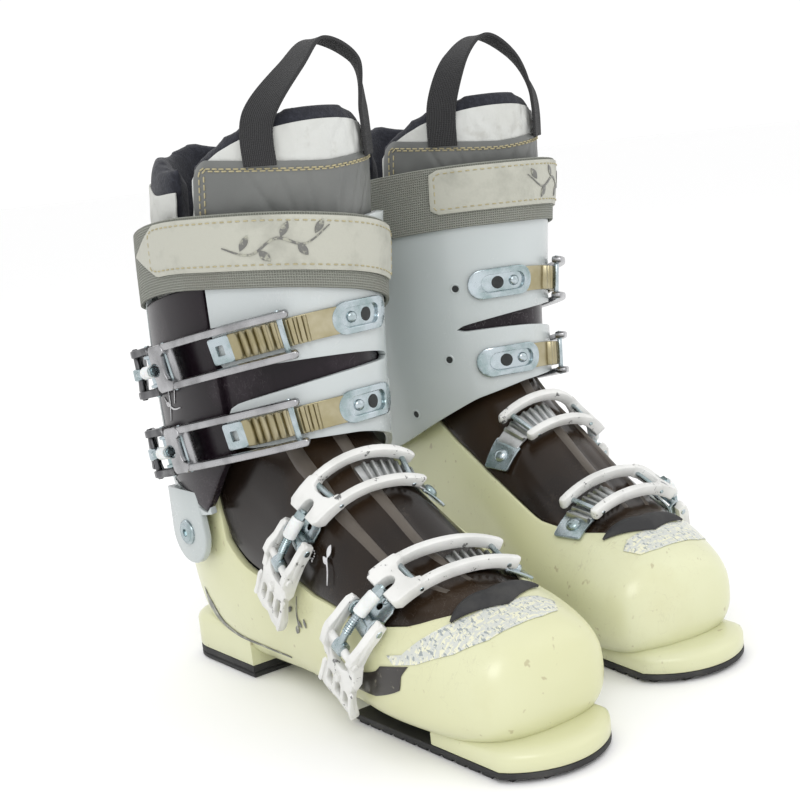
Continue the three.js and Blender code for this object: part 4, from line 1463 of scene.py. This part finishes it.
def roundedBox(a0, a1, b0, b1, radius, steps=5):
    points = []
    for cx, cy, turn in ((a1 - radius, b1 - radius, 0), (a0 + radius, b1 - radius, 90),
                         (a0 + radius, b0 + radius, 180), (a1 - radius, b0 + radius, 270)):
        for i in range(steps + 1):
            a = math.radians(turn + 90 * i / steps)
            points.append((cx + radius * math.cos(a), cy + radius * math.sin(a)))
    return points


def circleLine(cx, cy, radius, steps=18):
    return [(cx + radius * math.cos(2 * math.pi * i / steps), cy + radius * math.sin(2 * math.pi * i / steps))
            for i in range(steps)]


def plateMesh(outline, low, high, bevel=0.5, holes=()):
    # a flat plate with rounded edges and open holes
    flat = bpy.data.curves.new("plate", "CURVE")
    flat.dimensions = "2D"
    flat.fill_mode = "BOTH"
    flat.extrude = (high - low) / 2 - bevel
    flat.bevel_depth = bevel
    flat.bevel_resolution = 1
    flat.offset = -bevel
    for ring in [outline, *holes]:
        spline = flat.splines.new("POLY")
        spline.points.add(len(ring) - 1)
        for point, (x, y) in zip(spline.points, ring):
            point.co = (x, y, 0, 1)
        spline.use_cyclic_u = True
    thing = bpy.data.objects.new("plate", flat)
    bpy.context.scene.collection.objects.link(thing)
    mesh = evaluated(thing)
    bpy.data.curves.remove(flat)
    mesh.transform(Matrix.Translation((0, 0, (low + high) / 2)))
    return cleaned(mesh, 0.001)


def sideMesh(outline, inner, outer, bevel=0.5, holes=()):
    # the same, standing on edge: the outline is (along, height) and it fills from inner to outer across
    mesh = plateMesh(outline, inner, outer, bevel, holes)
    mesh.transform(Matrix(((1, 0, 0, 0), (0, 0, 1, 0), (0, 1, 0, 0), (0, 0, 0, 1))))
    return cleaned(mesh, 0.001)


def crossPin(along, height, half, radius, steps=18, dome=0.7):
    mesh = lathed([(0.01, -half), (radius * 0.7, -half), (radius, -half + dome), (radius, half - dome),
                   (radius * 0.7, half), (0.01, half)], steps, "Y")
    mesh.transform(Matrix.Translation((along, 0, height)))
    return mesh


def domeOn(along, across, height, size=1.0):
    mesh = domeRivet.copy()
    mesh.transform(Matrix.Translation((along, across, height)) @ Matrix.Scale(size, 4))
    return mesh


def bothSides(outline, inner, outer, bevel):
    # the same plate on edge, at each side of a buckle
    return [sideMesh(outline, low, high, bevel) for low, high in ((-outer, -inner), (inner, outer))]


def mirroredOutline(half):
    # a closed outline from its one half, whose points lie on the negative side
    return half + [(a, -b) for a, b in reversed(half) if b]


def bracketMesh(kind):
    small = isSmall(kind)
    outline = mirroredOutline([(-9, -6.5), (-7, -8.2), (9, -8.2), (14.5, -5), (16, 0)])
    parts = [plateMesh(outline, 0.7, 1.8, 0.35, [circleLine(7, 0, 1.6)] if small else [])]
    ear = [(-3.8, 1.2), (3.8, 1.2), (3.4, 6.5), (2.2, 8.4), (0, 9.1), (-2.2, 8.4), (-3.4, 6.5)]
    parts += bothSides(ear, 7.1, 8.7, 0.3)
    parts.append(crossPin(0, buckleSize["hinge"], 14.0, 1.7))
    return parts + [domeOn(10.5, across, 1.7, 0.85) for across in ((0,) if small else (-4.6, 4.6))]


def forkedLever():
    # the white levers: two arms, a waist and a broad tail with slots
    k = buckleSize
    tail = -k["forkedLength"]
    outline = [(2, -11.2), (3.4, -9.6), (3.4, -7.6), (-20, -7.4), (-24, -5.2), (-25.5, -2), (-25.5, 2),
               (-24, 5.2), (-20, 7.4), (3.4, 7.6), (3.4, 9.6), (2, 11.2), (-8, 11.6), (-24, 11.2), (-31, 9.4),
               (-36, 9.8), (-43, 11.6), (tail + 2.5, 11.4), (tail, 9.0), (tail - 0.8, 4), (tail + 1.2, 0),
               (tail - 0.8, -4), (tail, -9.0), (tail + 2.5, -11.4), (-43, -11.6), (-36, -9.8), (-31, -9.4),
               (-24, -11.2), (-8, -11.6)]
    slots = [roundedBox(tail + 5, tail + 15, across - 2.1, across + 2.1, 1.8) for across in (-7, 0, 7)]
    parts = [plateMesh([(a, k["leverWiden"] * b) for a, b in outline], 5.2, 9.2, 0.9, slots)]
    cheek = [(3.2, 3.8), (3.4, 7.6), (1.2, 9.6), (-7, 10.6), (-12, 12.6), (-17.5, 12.8), (-21, 10.4),
             (-27, 9.4), (-30, 7.0), (-27, 4.2), (-6, 3.6), (-2, 3.0)]
    parts += bothSides(cheek, 9.3, 13.6, 0.8)
    parts.append(sideMesh([(tail + 16, 8.6), (-29, 8.8), (-29, 11.0), (-33, 10.9)], -1.6, 1.6, 0.5))
    parts += bothSides([(tail + 1, 6), (-31, 8.8), (-32, 10.4), (tail + 2, 10.4)], 11.2, 13.6, 0.5)
    parts.append(crossPin(-k["bailBack"], k["bailHeight"], 14.4, 1.9))
    return parts


def steelLever():
    # the long curved levers at the cuff, with a rolled tail
    k = buckleSize
    tail = -k["steelLength"]
    outline = [(2.4, -11), (3.4, -9.4), (3.4, -7.6), (-19, -7.4), (-23, -4.6), (-23, 4.6), (-19, 7.4),
               (3.4, 7.6), (3.4, 9.4), (2.4, 11), (-22, 11.2), (-30, 10.4), (tail + 4, 11.4), (tail, 9.0),
               (tail - 1, 3), (tail - 1, -3), (tail, -9.0), (tail + 4, -11.4), (-30, -10.4), (-22, -11.2)]
    window = roundedBox(tail + 7, tail + 15, -5, 5, 1.8)
    parts = [plateMesh([(a, k["leverWiden"] * b) for a, b in outline], 5.4, 8.6, 0.9, [window])]
    cheek = [(3.2, 3.8), (3.4, 7.6), (1.2, 9.4), (-9, 10.4), (-13, 12.0), (-17.2, 12.0), (-20, 9.8),
             (-30, 8.6), (-32, 6.4), (-29, 4.4), (-6, 3.6), (-2, 3.0)]
    parts += bothSides(cheek, 9.3, 13.4, 0.7)
    roll = [(tail - 1, 6), (tail + 3, 6), (tail + 4, 9.6), (tail + 1, 11), (tail - 2, 9.6)]
    parts.append(sideMesh(roll, -10.4, 10.4, 0.8))
    parts.append(crossPin(-k["bailBack"], k["bailHeight"], 14.2, 1.7))
    return parts


bailShape = {
    "white": {"top": 10.8, "bevel": 1.4, "inner": 7.7, "beyond": 6.0, "corner": 2.2},
    "steel": {"top": 10.4, "bevel": 1.1, "inner": 8.4, "beyond": 4.6, "corner": 1.8},
    "low": 4.3,
    "outer": 12.3,
    "mouth": {"ring": 15.5, "half": 3.2},
}


def bailFrame(kind, reach):
    # a head that the rod screws into, and two open-ended rails with the hook pin across them
    low, outer = bailShape["low"], bailShape["outer"]
    k = bailShape["white" if isSmall(kind) else "steel"]
    deep, half = bailShape["mouth"]["ring"], bailShape["mouth"]["half"]
    turns = [math.pi * i / 6 for i in range(6, -1, -1)]
    mouth = [(deep + half * math.sin(a), -half * math.cos(a)) for a in turns]
    head = mirroredOutline([(11.4, -half), (11.4, -10.2), (13.6, -12.4), (25, -12.4), (27, -10), (27, -7.6),
                            (23.6, -6.2), (22.4, -3)])
    parts = [plateMesh(head + mouth, low, k["top"] + 0.6, k["bevel"] * 0.7)]
    for across in ((-outer, -k["inner"]), (k["inner"], outer)):
        rail = roundedBox(22, reach + k["beyond"], *across, k["corner"], 5)
        parts.append(plateMesh(rail, low, k["top"], k["bevel"]))
    if not isSmall(kind):
        parts.append(plateMesh(roundedBox(24, 31, -12.2, 12.2, 2, 4), 5.0, 8.2, 0.6))
    return parts


def bailPins(reach):
    return [crossPin(reach, 6.4, 12.7, 1.4), crossPin(24.5, 7.4, 12.8, 1.3)]


threadRing = lathed([(1.95, -0.42), (2.35, 0), (1.95, 0.42)], 14, "X")
rodThread = {"count": 14, "pitch": 0.95, "from": -8}


def bailRod():
    # the threaded rod and the eye that it turns on
    k = rodThread
    eye = crossPin(-buckleSize["bailBack"], buckleSize["bailHeight"], 3.3, 3.4, 20, 0.5)
    rod = lathed([(0.01, -13), (1.95, -13), (1.95, 13), (0.01, 13)], 16, "X")
    rings = grown("row", newMesh("start", [(0, 0, 0)], []), threadRing, Count=k["count"], Pitch=k["pitch"],
                  Finish=finish["zincSteel"])
    rings.transform(Matrix.Translation((k["from"], 0, 0)))
    threaded = joinedMeshes("rod", [rod, rings])
    threaded.transform(Matrix.Translation((0.5, 0, buckleSize["rodHeight"])))
    return [eye, threaded]


def bailSleeve():
    sleeve = lathed([(2.0, -1), (3.3, -1), (3.5, -0.4), (3.5, 7.4), (3.1, 8.0), (2.0, 8.0)], 20, "X")
    nut = lathed([(0.01, 8.2), (3.0, 8.2), (3.0, 11.0), (0.01, 11.0)], 6, "X")
    for mesh in (sleeve, nut):
        mesh.transform(Matrix.Translation((1.5, 0, buckleSize["rodHeight"])))
    return [sleeve], [nut]


toothOutline = [(-1.35, 0), (-1.15, 1.9), (-0.6, 2.9), (0.3, 3.1), (0.9, 2.5), (1.3, 0)]
toothShape = sideMesh(toothOutline, -6.7, 6.7, 0.18)


def ladderTeeth(kind, place):
    # the rack runs from its loose end to its foot plate; the hook sits in one of the gaps
    pitch = buckleSize["pitch"]
    ahead = 2 if isSmall(kind) else 3
    count = ahead + int(place["teeth"] / pitch)
    row = grown("row", newMesh("start", [(0, 0, 0)], []), toothShape, Count=count, Pitch=-pitch,
                Finish=finish["zincSteel"])
    row.transform(Matrix.Translation((place["reach"] + (ahead - 0.5) * pitch, 0, 1.6)))
    return row


def ladderBase(kind, place, end):
    # the strip under the teeth and its foot plate; the cuff's plates have a well, and in it a near-black disc
    # of painted shade that stands in for a hole
    half, top = buckleSize["ladderHalf"], buckleSize["ladderTop"]
    back = place["reach"] - place["teeth"]
    if isSmall(kind):
        front = max(end - 14.5, place["reach"] + 3)
        strip = plateMesh(roundedBox(back, front + 1, -half, half, 1.2, 3), 1.0, top, 0.3)
        foot = plateMesh(roundedBox(front - 1, end + 1.5, -half - 1.2, half + 1.2, 1.4, 3), 0.6, 2.2, 0.4)
        return [strip, foot, domeOn((front + end) / 2 + 0.5, 0, 2.0, 1.7)], []
    front = end - 36
    strip = plateMesh(roundedBox(back, front + 3, -half, half, 1.2, 3), 1.0, top, 0.3)
    well = roundedBox(front + 4, end - 6, -4.9, 4.9, 4.8, 7)
    foot = plateMesh(roundedBox(front - 1, end + 1.5, -half - 1.4, half + 1.4, 8.0, 9), 0.6, 2.7, 0.6, [well])
    pan = plateMesh(roundedBox(front + 2, end - 4, -5.8, 5.8, 5.6, 6), 0.5, 1.1, 0.1)
    # painted shade: a near-black disc that stands in for the hole in the well
    hole = plateMesh(circleLine(end - 15.5, 0, 3.6), 1.0, 1.35, 0.1)
    tag = plateMesh(roundedBox(back - 13, back + 1, -half, half, 1.6, 4), 1.0, 2.5, 0.3,
                    [roundedBox(back - 8.6, back - 3.8, -2.6, 2.6, 0.3, 2)])
    return [strip, foot, pan, tag, domeOn(front + 10.5, 0, 1.2, 1.25)], [hole]


def buildBuckles():
    made = {}
    for kind, place in buckleAt.items():
        path = Path(place)
        lever = forkedLever() if isSmall(kind) else steelLever()
        sleeve, nut = bailSleeve()
        base, pan = ladderBase(kind, place, path.end)
        made[kind] = {
            "bracket": laid(path, bracketMesh(kind)),
            "lever": laid(path, lever),
            "bail": laid(path, bailFrame(kind, place["reach"])),
            "rod": laid(path, bailRod() + nut + bailPins(place["reach"])),
            "sleeve": laid(path, sleeve),
            "ladder": laid(path, [ladderTeeth(kind, place), base[0]]),
            "ladderFoot": laid(path, base[1:]),
            # the cuff ladders' near-black disc of painted hole shade
            "ladderHoleShade": laid(path, pan) if pan else None,
        }
    return made


# flat marks on the surfaces: prints, foil and spare holes
markScale = {"ring": 16.0, "degree": 0.75, "thick": 0.3, "edge": 0.05, "slice": 2.5}


def wrappedMark(surface, outlines, lift):
    # closed outlines of (ring, angle) spots, laid on a surface as thin plates
    k = markScale
    plates = []
    for outline in outlines:
        level = [(t * k["ring"], a * k["degree"]) for t, a in outline]
        plates.append(plateMesh(level, 0, k["thick"], k["edge"]))
    flat = joinedMeshes("mark", plates)
    work = bmesh.new()
    work.from_mesh(flat)
    for axis in (0, 1):
        sliced(work, axis, k["slice"])
    for v in work.verts:
        v.co = surface.above(v.co.x / k["ring"], v.co.y / k["degree"], lift + v.co.z)
    bmesh.ops.recalc_face_normals(work, faces=work.faces)
    work.to_mesh(flat)
    work.free()
    return flat


def drawn(surface, centre, turn, outlines, lift):
    # outlines in millimetres round a spot: x runs round the boot and y up the rings
    up, around = surface.scaleAt(*centre)
    c, s = math.cos(math.radians(turn)), math.sin(math.radians(turn))

    def spot(x, y):
        return centre[0] + (x * s + y * c) / up, centre[1] + (x * c - y * s) / around

    return wrappedMark(surface, [[spot(x, y) for x, y in outline] for outline in outlines], lift)


def leaf(x, y, turn, length, width):
    c, s = math.cos(math.radians(turn)), math.sin(math.radians(turn))
    side = [(length * i / 8, width / 2 * math.sin(math.pi * i / 8) ** 0.9) for i in range(9)]
    ring = side + [(a, -b) for a, b in reversed(side[1:-1])]
    return [(x + a * c - b * s, y + a * s + b * c) for a, b in ring]


def stroke(points, width):
    # a ribbon along a smooth line
    smooth = []
    last = len(points) - 1
    for i in range(last * 6 + 1):
        smooth.append(Vector(splineValue([p[k] for p in points], i / 6) for k in (0, 1)))
    left, right = [], []
    end = len(smooth) - 1
    for i, p in enumerate(smooth):
        along = (smooth[min(i + 1, end)] - smooth[max(i - 1, 0)]).normalized()
        half = width / 2 * (0.35 + 0.65 * math.sin(math.pi * i / end))
        left.append((p.x - along.y * half, p.y + along.x * half))
        right.append((p.x + along.y * half, p.y - along.x * half))
    return left + right[::-1]


def heartDots(radius, dot, count=16):
    waves = ((1, 0.81), (2, -0.31), (3, -0.12), (4, -0.06))
    dots = []
    for i in range(count):
        a = 2 * math.pi * i / count
        x = radius * math.sin(a) ** 3
        y = radius * sum(share * math.cos(times * a) for times, share in waves)
        dots.append(circleLine(x, y, dot, 6))
    return dots


def sprig(size):
    stem = [(0, -size), (size * 0.08, -size * 0.3), (-size * 0.04, size * 0.3), (0, size * 0.5)]
    return [stroke(stem, size * 0.13), leaf(0, size * 0.45, 72, size * 0.8, size * 0.42),
            leaf(0, size * 0.1, 140, size * 0.6, size * 0.34)]


# outlines that are laid straight on the shell, as (ring, angle)
shellPrints = {
    "foil": [(4.9, -74), (4.35, -48), (3.95, -27), (3.78, 0), (3.72, 20), (3.5, 30), (3.05, 24), (2.9, 8),
             (2.95, -12), (3.15, -36), (3.7, -58), (4.5, -76), (5.1, -84), (5.3, -80)],
    "wedge": [(4.7, -80), (5.5, -90), (6.6, -99), (7.5, -108), (6.9, -113), (5.8, -106), (5.0, -94)],
    "heelStrip": [(12.4, -121), (12.1, -128), (11.6, -131), (10.4, -131), (9.2, -130.5), (9.2, -129),
                  (10.4, -128.5), (11.4, -126), (11.9, -121)],
}
markLift = {"print": 0.2, "side": 0.35, "cover": 0.9, "insert": 0.15}
vineLeaves = [(-16, 0, 60), (-8, -2, -55), (2, 2, 62), (9, -3, -60), (17, 0, 55)]


def vine():
    # the strap patch's motif: a waved stem with its leaves
    stem = stroke([(-24, 4), (-12, -3), (0, 2), (12, -4), (24, 3)], 1.3)
    return [stem] + [leaf(x, y, turn, 8, 3.6) for x, y, turn in vineLeaves]


def flourish():
    long = stroke([(-10, -9), (-3, -2), (2, 8), (8, 3), (3, -4)], 1.3)
    short = stroke([(-10, 6), (-6, 0), (0, -6), (8, -9)], 1.1)
    return [long, short, leaf(2, 8, 80, 8, 3.4), leaf(-3, -2, 150, 7, 3)]


def sideSprig():
    return sprig(9) + [leaf(6, -4, 30, 6, 2.6), leaf(-7, -2, 120, 5, 2.4)]


def buildMarks():
    # each mark: its piece, mesh, finish, body and slot
    k = markLift
    foil, wedge, strip = [wrappedMark(shell, [shellPrints[name]], k["print"])
                          for name in ("foil", "wedge", "heelStrip")]
    onInsert = drawn(cuff, (2.75, -101), 20, flourish(), wallOf["insert"] + k["insert"])
    leafOnCover = drawn(shell, (7.55, -63), -65, sprig(8), k["cover"])
    heartOnCover = drawn(shell, (8.15, -66), -65, heartDots(2.8, 0.42), k["cover"])
    onSide = drawn(shell, (8.7, -97), 95, sideSprig(), k["side"])
    print("marks drawn")
    return [
        ("toeFoil", foil, "silverFoil", "boot", "cream_shell"),
        ("darkWedge", wedge, "darkPrint", "boot", "smoked_flap"),
        ("heelStrip", strip, "greyInk", "boot", "cream_shell"),
        ("insertFlourish", onInsert, "paleInk", "cuff", "dark_insert"),
        ("coverSprig", leafOnCover, "paleInk", "boot", "smoked_flap"),
        ("coverHeart", heartOnCover, "paleInk", "boot", "smoked_flap"),
        ("sideSprig", onSide, "greyInk", "boot", "cream_shell"),
    ]


# spare mounting holes in the cuff's inner side: pearl rims, each with a near-black disc of painted shade
# inside
holeSpots = [(3.62, 34), (2.0, 42), (0.9, 66)]


def holeMeshes():
    points = [cuff.above(*spot, wallOf["cuff"] + 0.1) for spot in holeSpots]
    aims = [cuff.normal(*spot) for spot in holeSpots]
    rim = lathed([(0.01, -0.9), (3.0, -0.9), (3.1, 0.1), (2.7, 0.35), (2.1, 0.2), (1.9, -0.5),
                  (0.01, -0.55)], 24)
    # painted shade: a near-black disc flush in each hole that stands in for its depth
    shadeDisc = lathed([(0.01, -0.7), (1.95, -0.7), (1.95, 0.0), (0.01, 0.0)], 20)
    return (grown("aimed", pointMesh(points, aims), rim, Finish=finish["pearlCuff"]),
            grown("aimed", pointMesh(points, aims), shadeDisc, Finish=finish["darkHollow"]))


def buildCommon():
    # every mesh that both boots share
    made = {
        "shell": shellMesh(), "toeLug": toeLugMesh(), "heelLug": heelLugMesh(), "toeTread": toeTreadMesh(),
        "heelTread": heelTreadMesh(), "cover": coverMesh(),
        "coverRibs": joinedMeshes("ribs", [coverRibMesh(rib) for rib in instepCover["ribs"]]),
        "bumper": bumperMesh(), "cuff": cuffMesh(), "insert": insertMesh(), "bootie": bootieMesh(),
        "innerEar": earMesh(1), "outerEar": earMesh(-1), "innerPivot": pivotMesh(1),
        "outerPivot": pivotMesh(-1),
    }
    print("hard parts made")
    k = collarPad
    made["collarFleece"] = swollen(padMesh("collar", cuff, collarSpot, 40, 64, k["low"], k["high"]))
    made["collar"] = coverOn("collarLeather", made["collarFleece"], collarLeatherSpot, 60, 120, quilting)
    k = tonguePad
    made["tongueFleece"] = swollen(padMesh("tongue", cuff, tongueSpot, 40, 50, k["low"], k["high"]))
    made["tongue"] = coverOn("tongueLeather", made["tongueFleece"], tongueLeatherSpot, 60, 96, quilting)
    print("pads swollen")
    made["shield"] = coverOn("shield", made["tongue"], shieldSpot, 44, 110, shieldLift, 1.4)
    made["shieldStitches"] = shieldStitches(made["shield"])
    made["buckles"] = buildBuckles()
    print("buckles made")
    made["marks"] = buildMarks()
    made["holeRims"], made["holeCores"] = holeMeshes()
    return made


# piece, mesh, finish, body, the nodes that it stands for, slot
hardPieces = [
    ("lowerShell", "shell", "creamShell", "boot", ["lower_shell"], "cream_shell"),
    ("toeLug", "toeLug", "creamShell", "boot", ["lower_shell"], "cream_shell"),
    ("heelLug", "heelLug", "creamShell", "boot", ["lower_shell"], "cream_shell"),
    ("toeTread", "toeTread", "blackRubber", "boot", ["toe_sole"], "black_rubber"),
    ("heelTread", "heelTread", "blackRubber", "boot", ["heel_sole"], "black_rubber"),
    ("instepCover", "cover", "smokedFlap", "boot", ["instep_cover"], "smoked_flap"),
    ("coverRibs", "coverRibs", "flapRib", "boot", [], "smoked_flap"),
    ("toeBumper", "bumper", "blackRubber", "boot", ["toe_bumper"], "black_rubber"),
    ("cuffWall", "cuff", "pearlCuff", "cuff", ["cuff"], "pearl_cuff"),
    ("innerEar", "innerEar", "pearlCuff", "cuff", ["cuff"], "pearl_cuff"),
    ("outerEar", "outerEar", "pearlCuff", "cuff", ["cuff"], "pearl_cuff"),
    ("cuffInsert", "insert", "darkInsert", "cuff", ["cuff_insert"], "dark_insert"),
    ("innerPivot", "innerPivot", "zincSteel", "boot", ["inner_pivot"], "zinc_steel"),
    ("outerPivot", "outerPivot", "zincSteel", "boot", ["outer_pivot"], "zinc_steel"),
    ("linerBootie", "bootie", "blackFleece", "boot", ["liner_bootie"], "black_fleece"),
]
smallFinds = [
    ("tongueShield", "shield", "shieldCloth", "cuff", [], "grey_webbing"),
    ("shieldStitches", "shieldStitches", "oldThread", "cuff", [], "grey_webbing"),
    ("holeRims", "holeRims", "pearlCuff", "cuff", [], "pearl_cuff"),
    # the near-black discs in the spare holes are painted shade
    ("holeCores", "holeCores", "darkHollow", "cuff", [], "black_rubber"),
]


def dressLiner(boot, made):
    for key, node in (("collar", "liner_collar"), ("tongue", "tongue")):
        fleece = key + "Fleece"
        pad = boot.piece(fleece, made[fleece], "blackFleece", "cuff", [node], "black_fleece")
        boot.piece(key + "Leather", made[key], "linerLeather", "cuff", [node], "liner_leather")


def dressStrap(boot):
    side = boot.side
    k = powerStrap
    raised = k["low"] + k["thick"] + k["vineStand"]
    motif = drawn(cuff, patchSpot(side)(0.5, 0.52), 2, vine(), raised)
    boot.piece("pullLoop", loopMesh(side), "blackWebbing", "cuff", ["pull_loop"], "black_webbing")
    boot.piece("strapWebbing", strapMesh(side), "greyWebbing", "cuff", ["power_strap"], "grey_webbing")
    boot.piece("strapPatch", patchPieceMesh(side), "patchLeather", "cuff", ["power_strap"], "liner_leather")
    boot.piece("patchStitches", patchStitches(side), "oldThread", "cuff", [], "grey_webbing")
    boot.piece("patchVine", motif, "greyInk", "cuff", [], "grey_webbing")


# finish and slot of a buckle's lever, bail and ladder
buckleLook = {
    "white": {"lever": ("whiteEnamel", "white_enamel"), "bail": ("whiteEnamel", "white_enamel"),
              "ladder": ("silverLadder", "silver_ladder")},
    "steel": {"lever": ("darkSteel", "polished_alloy"), "bail": ("polishedAlloy", "polished_alloy"),
              "ladder": ("brassLadder", "brass_ladder")},
}


def dressBuckle(boot, kind, parts):
    look = buckleLook["white" if isSmall(kind) else "steel"]
    holder = "boot" if isSmall(kind) else "cuff"
    label = "".join(word.capitalize() for word in kind.split("_"))
    lever, bail, ladder = kind + "_lever", kind + "_bail", kind + "_ladder"
    boot.piece(label + "Bracket", parts["bracket"], "zincSteel", holder, [kind + "_bracket"], "zinc_steel")
    boot.piece(label + "Lever", parts["lever"], look["lever"][0], lever, [lever], look["lever"][1])
    boot.piece(label + "Bail", parts["bail"], look["bail"][0], bail, [bail], look["bail"][1])
    boot.piece(label + "Rod", parts["rod"], "zincSteel", bail, [bail], "zinc_steel")
    boot.piece(label + "Sleeve", parts["sleeve"], "whiteNylon", bail, [bail], look["bail"][1])
    boot.piece(label + "Ladder", parts["ladder"], look["ladder"][0], holder, [ladder], look["ladder"][1])
    boot.piece(label + "LadderFoot", parts["ladderFoot"], "zincSteel", holder, [ladder], "zinc_steel")
    # the near-black disc of painted hole shade, on the cuff ladders only
    if parts["ladderHoleShade"]:
        boot.piece(label + "LadderPan", parts["ladderHoleShade"], "darkHollow", holder, [], "black_rubber")


def dressBoot(boot, made):
    for label, key, look, body, nodes, slotName in hardPieces:
        boot.piece(label, made[key], look, body, nodes, slotName)
    dressLiner(boot, made)
    dressStrap(boot)
    for label, key, look, body, nodes, slotName in smallFinds:
        boot.piece(label, made[key], look, body, nodes, slotName)
    for label, mesh, look, body, slotName in made["marks"]:
        boot.piece(label, mesh, look, body, [], slotName)
    for kind, parts in made["buckles"].items():
        dressBuckle(boot, kind, parts)
    print(boot.side, "boot dressed")


made = buildCommon()
for boot in boots:
    dressBoot(boot, made)


# floor, light and camera
studio = {
    "floor": 30.0,
    "floorColor": (0.95, 0.95, 0.95),
    "world": 1.04,
    "aim": (0, 0, 0.15),
    "lamps": {  # power, size, place
        "key": (13, 0.9, (-1.1, -1.5, 1.5)),
        "fill": (4, 1.6, (1.5, -1.2, 1.1)),
        "back": (5, 1.4, (-0.2, 1.4, 1.7)),
    },
}
view = {"place": (-0.47441, -0.60513, 0.27691), "azimuth": -36.36, "elevation": 9.82, "roll": -6.29,
        "lens": 63.98, "sensor": 36}


def makeStudio():
    k = studio
    half = k["floor"]
    rows = [[Vector((x, y, 0)) for x in (-half, half)] for y in (-half, half)]
    floor = bpy.data.objects.new("floor", patchMesh("floor", [rows]))
    bpy.context.scene.collection.objects.link(floor)
    look = Finish("paleFloor", k["floorColor"], 0.8)
    floor.data.materials.append(look.material)
    world = bpy.data.worlds.new("studio")
    world.use_nodes = True
    world.node_tree.nodes["Background"].inputs["Color"].default_value = (1, 1, 1, 1)
    world.node_tree.nodes["Background"].inputs["Strength"].default_value = k["world"]
    bpy.context.scene.world = world
    for name, (power, size, place) in k["lamps"].items():
        lamp = bpy.data.lights.new(name, "AREA")
        lamp.energy, lamp.size = power, size
        thing = bpy.data.objects.new(name, lamp)
        thing.location = place
        thing.rotation_mode = "QUATERNION"
        thing.rotation_quaternion = (Vector(place) - Vector(k["aim"])).to_track_quat("Z", "Y")
        bpy.context.scene.collection.objects.link(thing)
    bpy.context.scene.view_settings.view_transform = "Standard"


def makeCamera():
    k = view
    a, e, r = (math.radians(k[key]) for key in ("azimuth", "elevation", "roll"))
    back = Vector((math.sin(a) * math.cos(e), -math.cos(a) * math.cos(e), math.sin(e)))
    level = Vector((math.cos(a), math.sin(a), 0))
    rise = back.cross(level)
    right = level * math.cos(r) + rise * math.sin(r)
    up = back.cross(right)
    data = bpy.data.cameras.new("camera")
    data.lens, data.sensor_width = k["lens"], k["sensor"]
    camera = bpy.data.objects.new("camera", data)
    camera.matrix_world = Matrix.Translation(k["place"]) @ Matrix((right, up, back)).transposed().to_4x4()
    bpy.context.scene.collection.objects.link(camera)
    bpy.context.scene.camera = camera


makeStudio()
makeCamera()
bpy.context.view_layer.update()
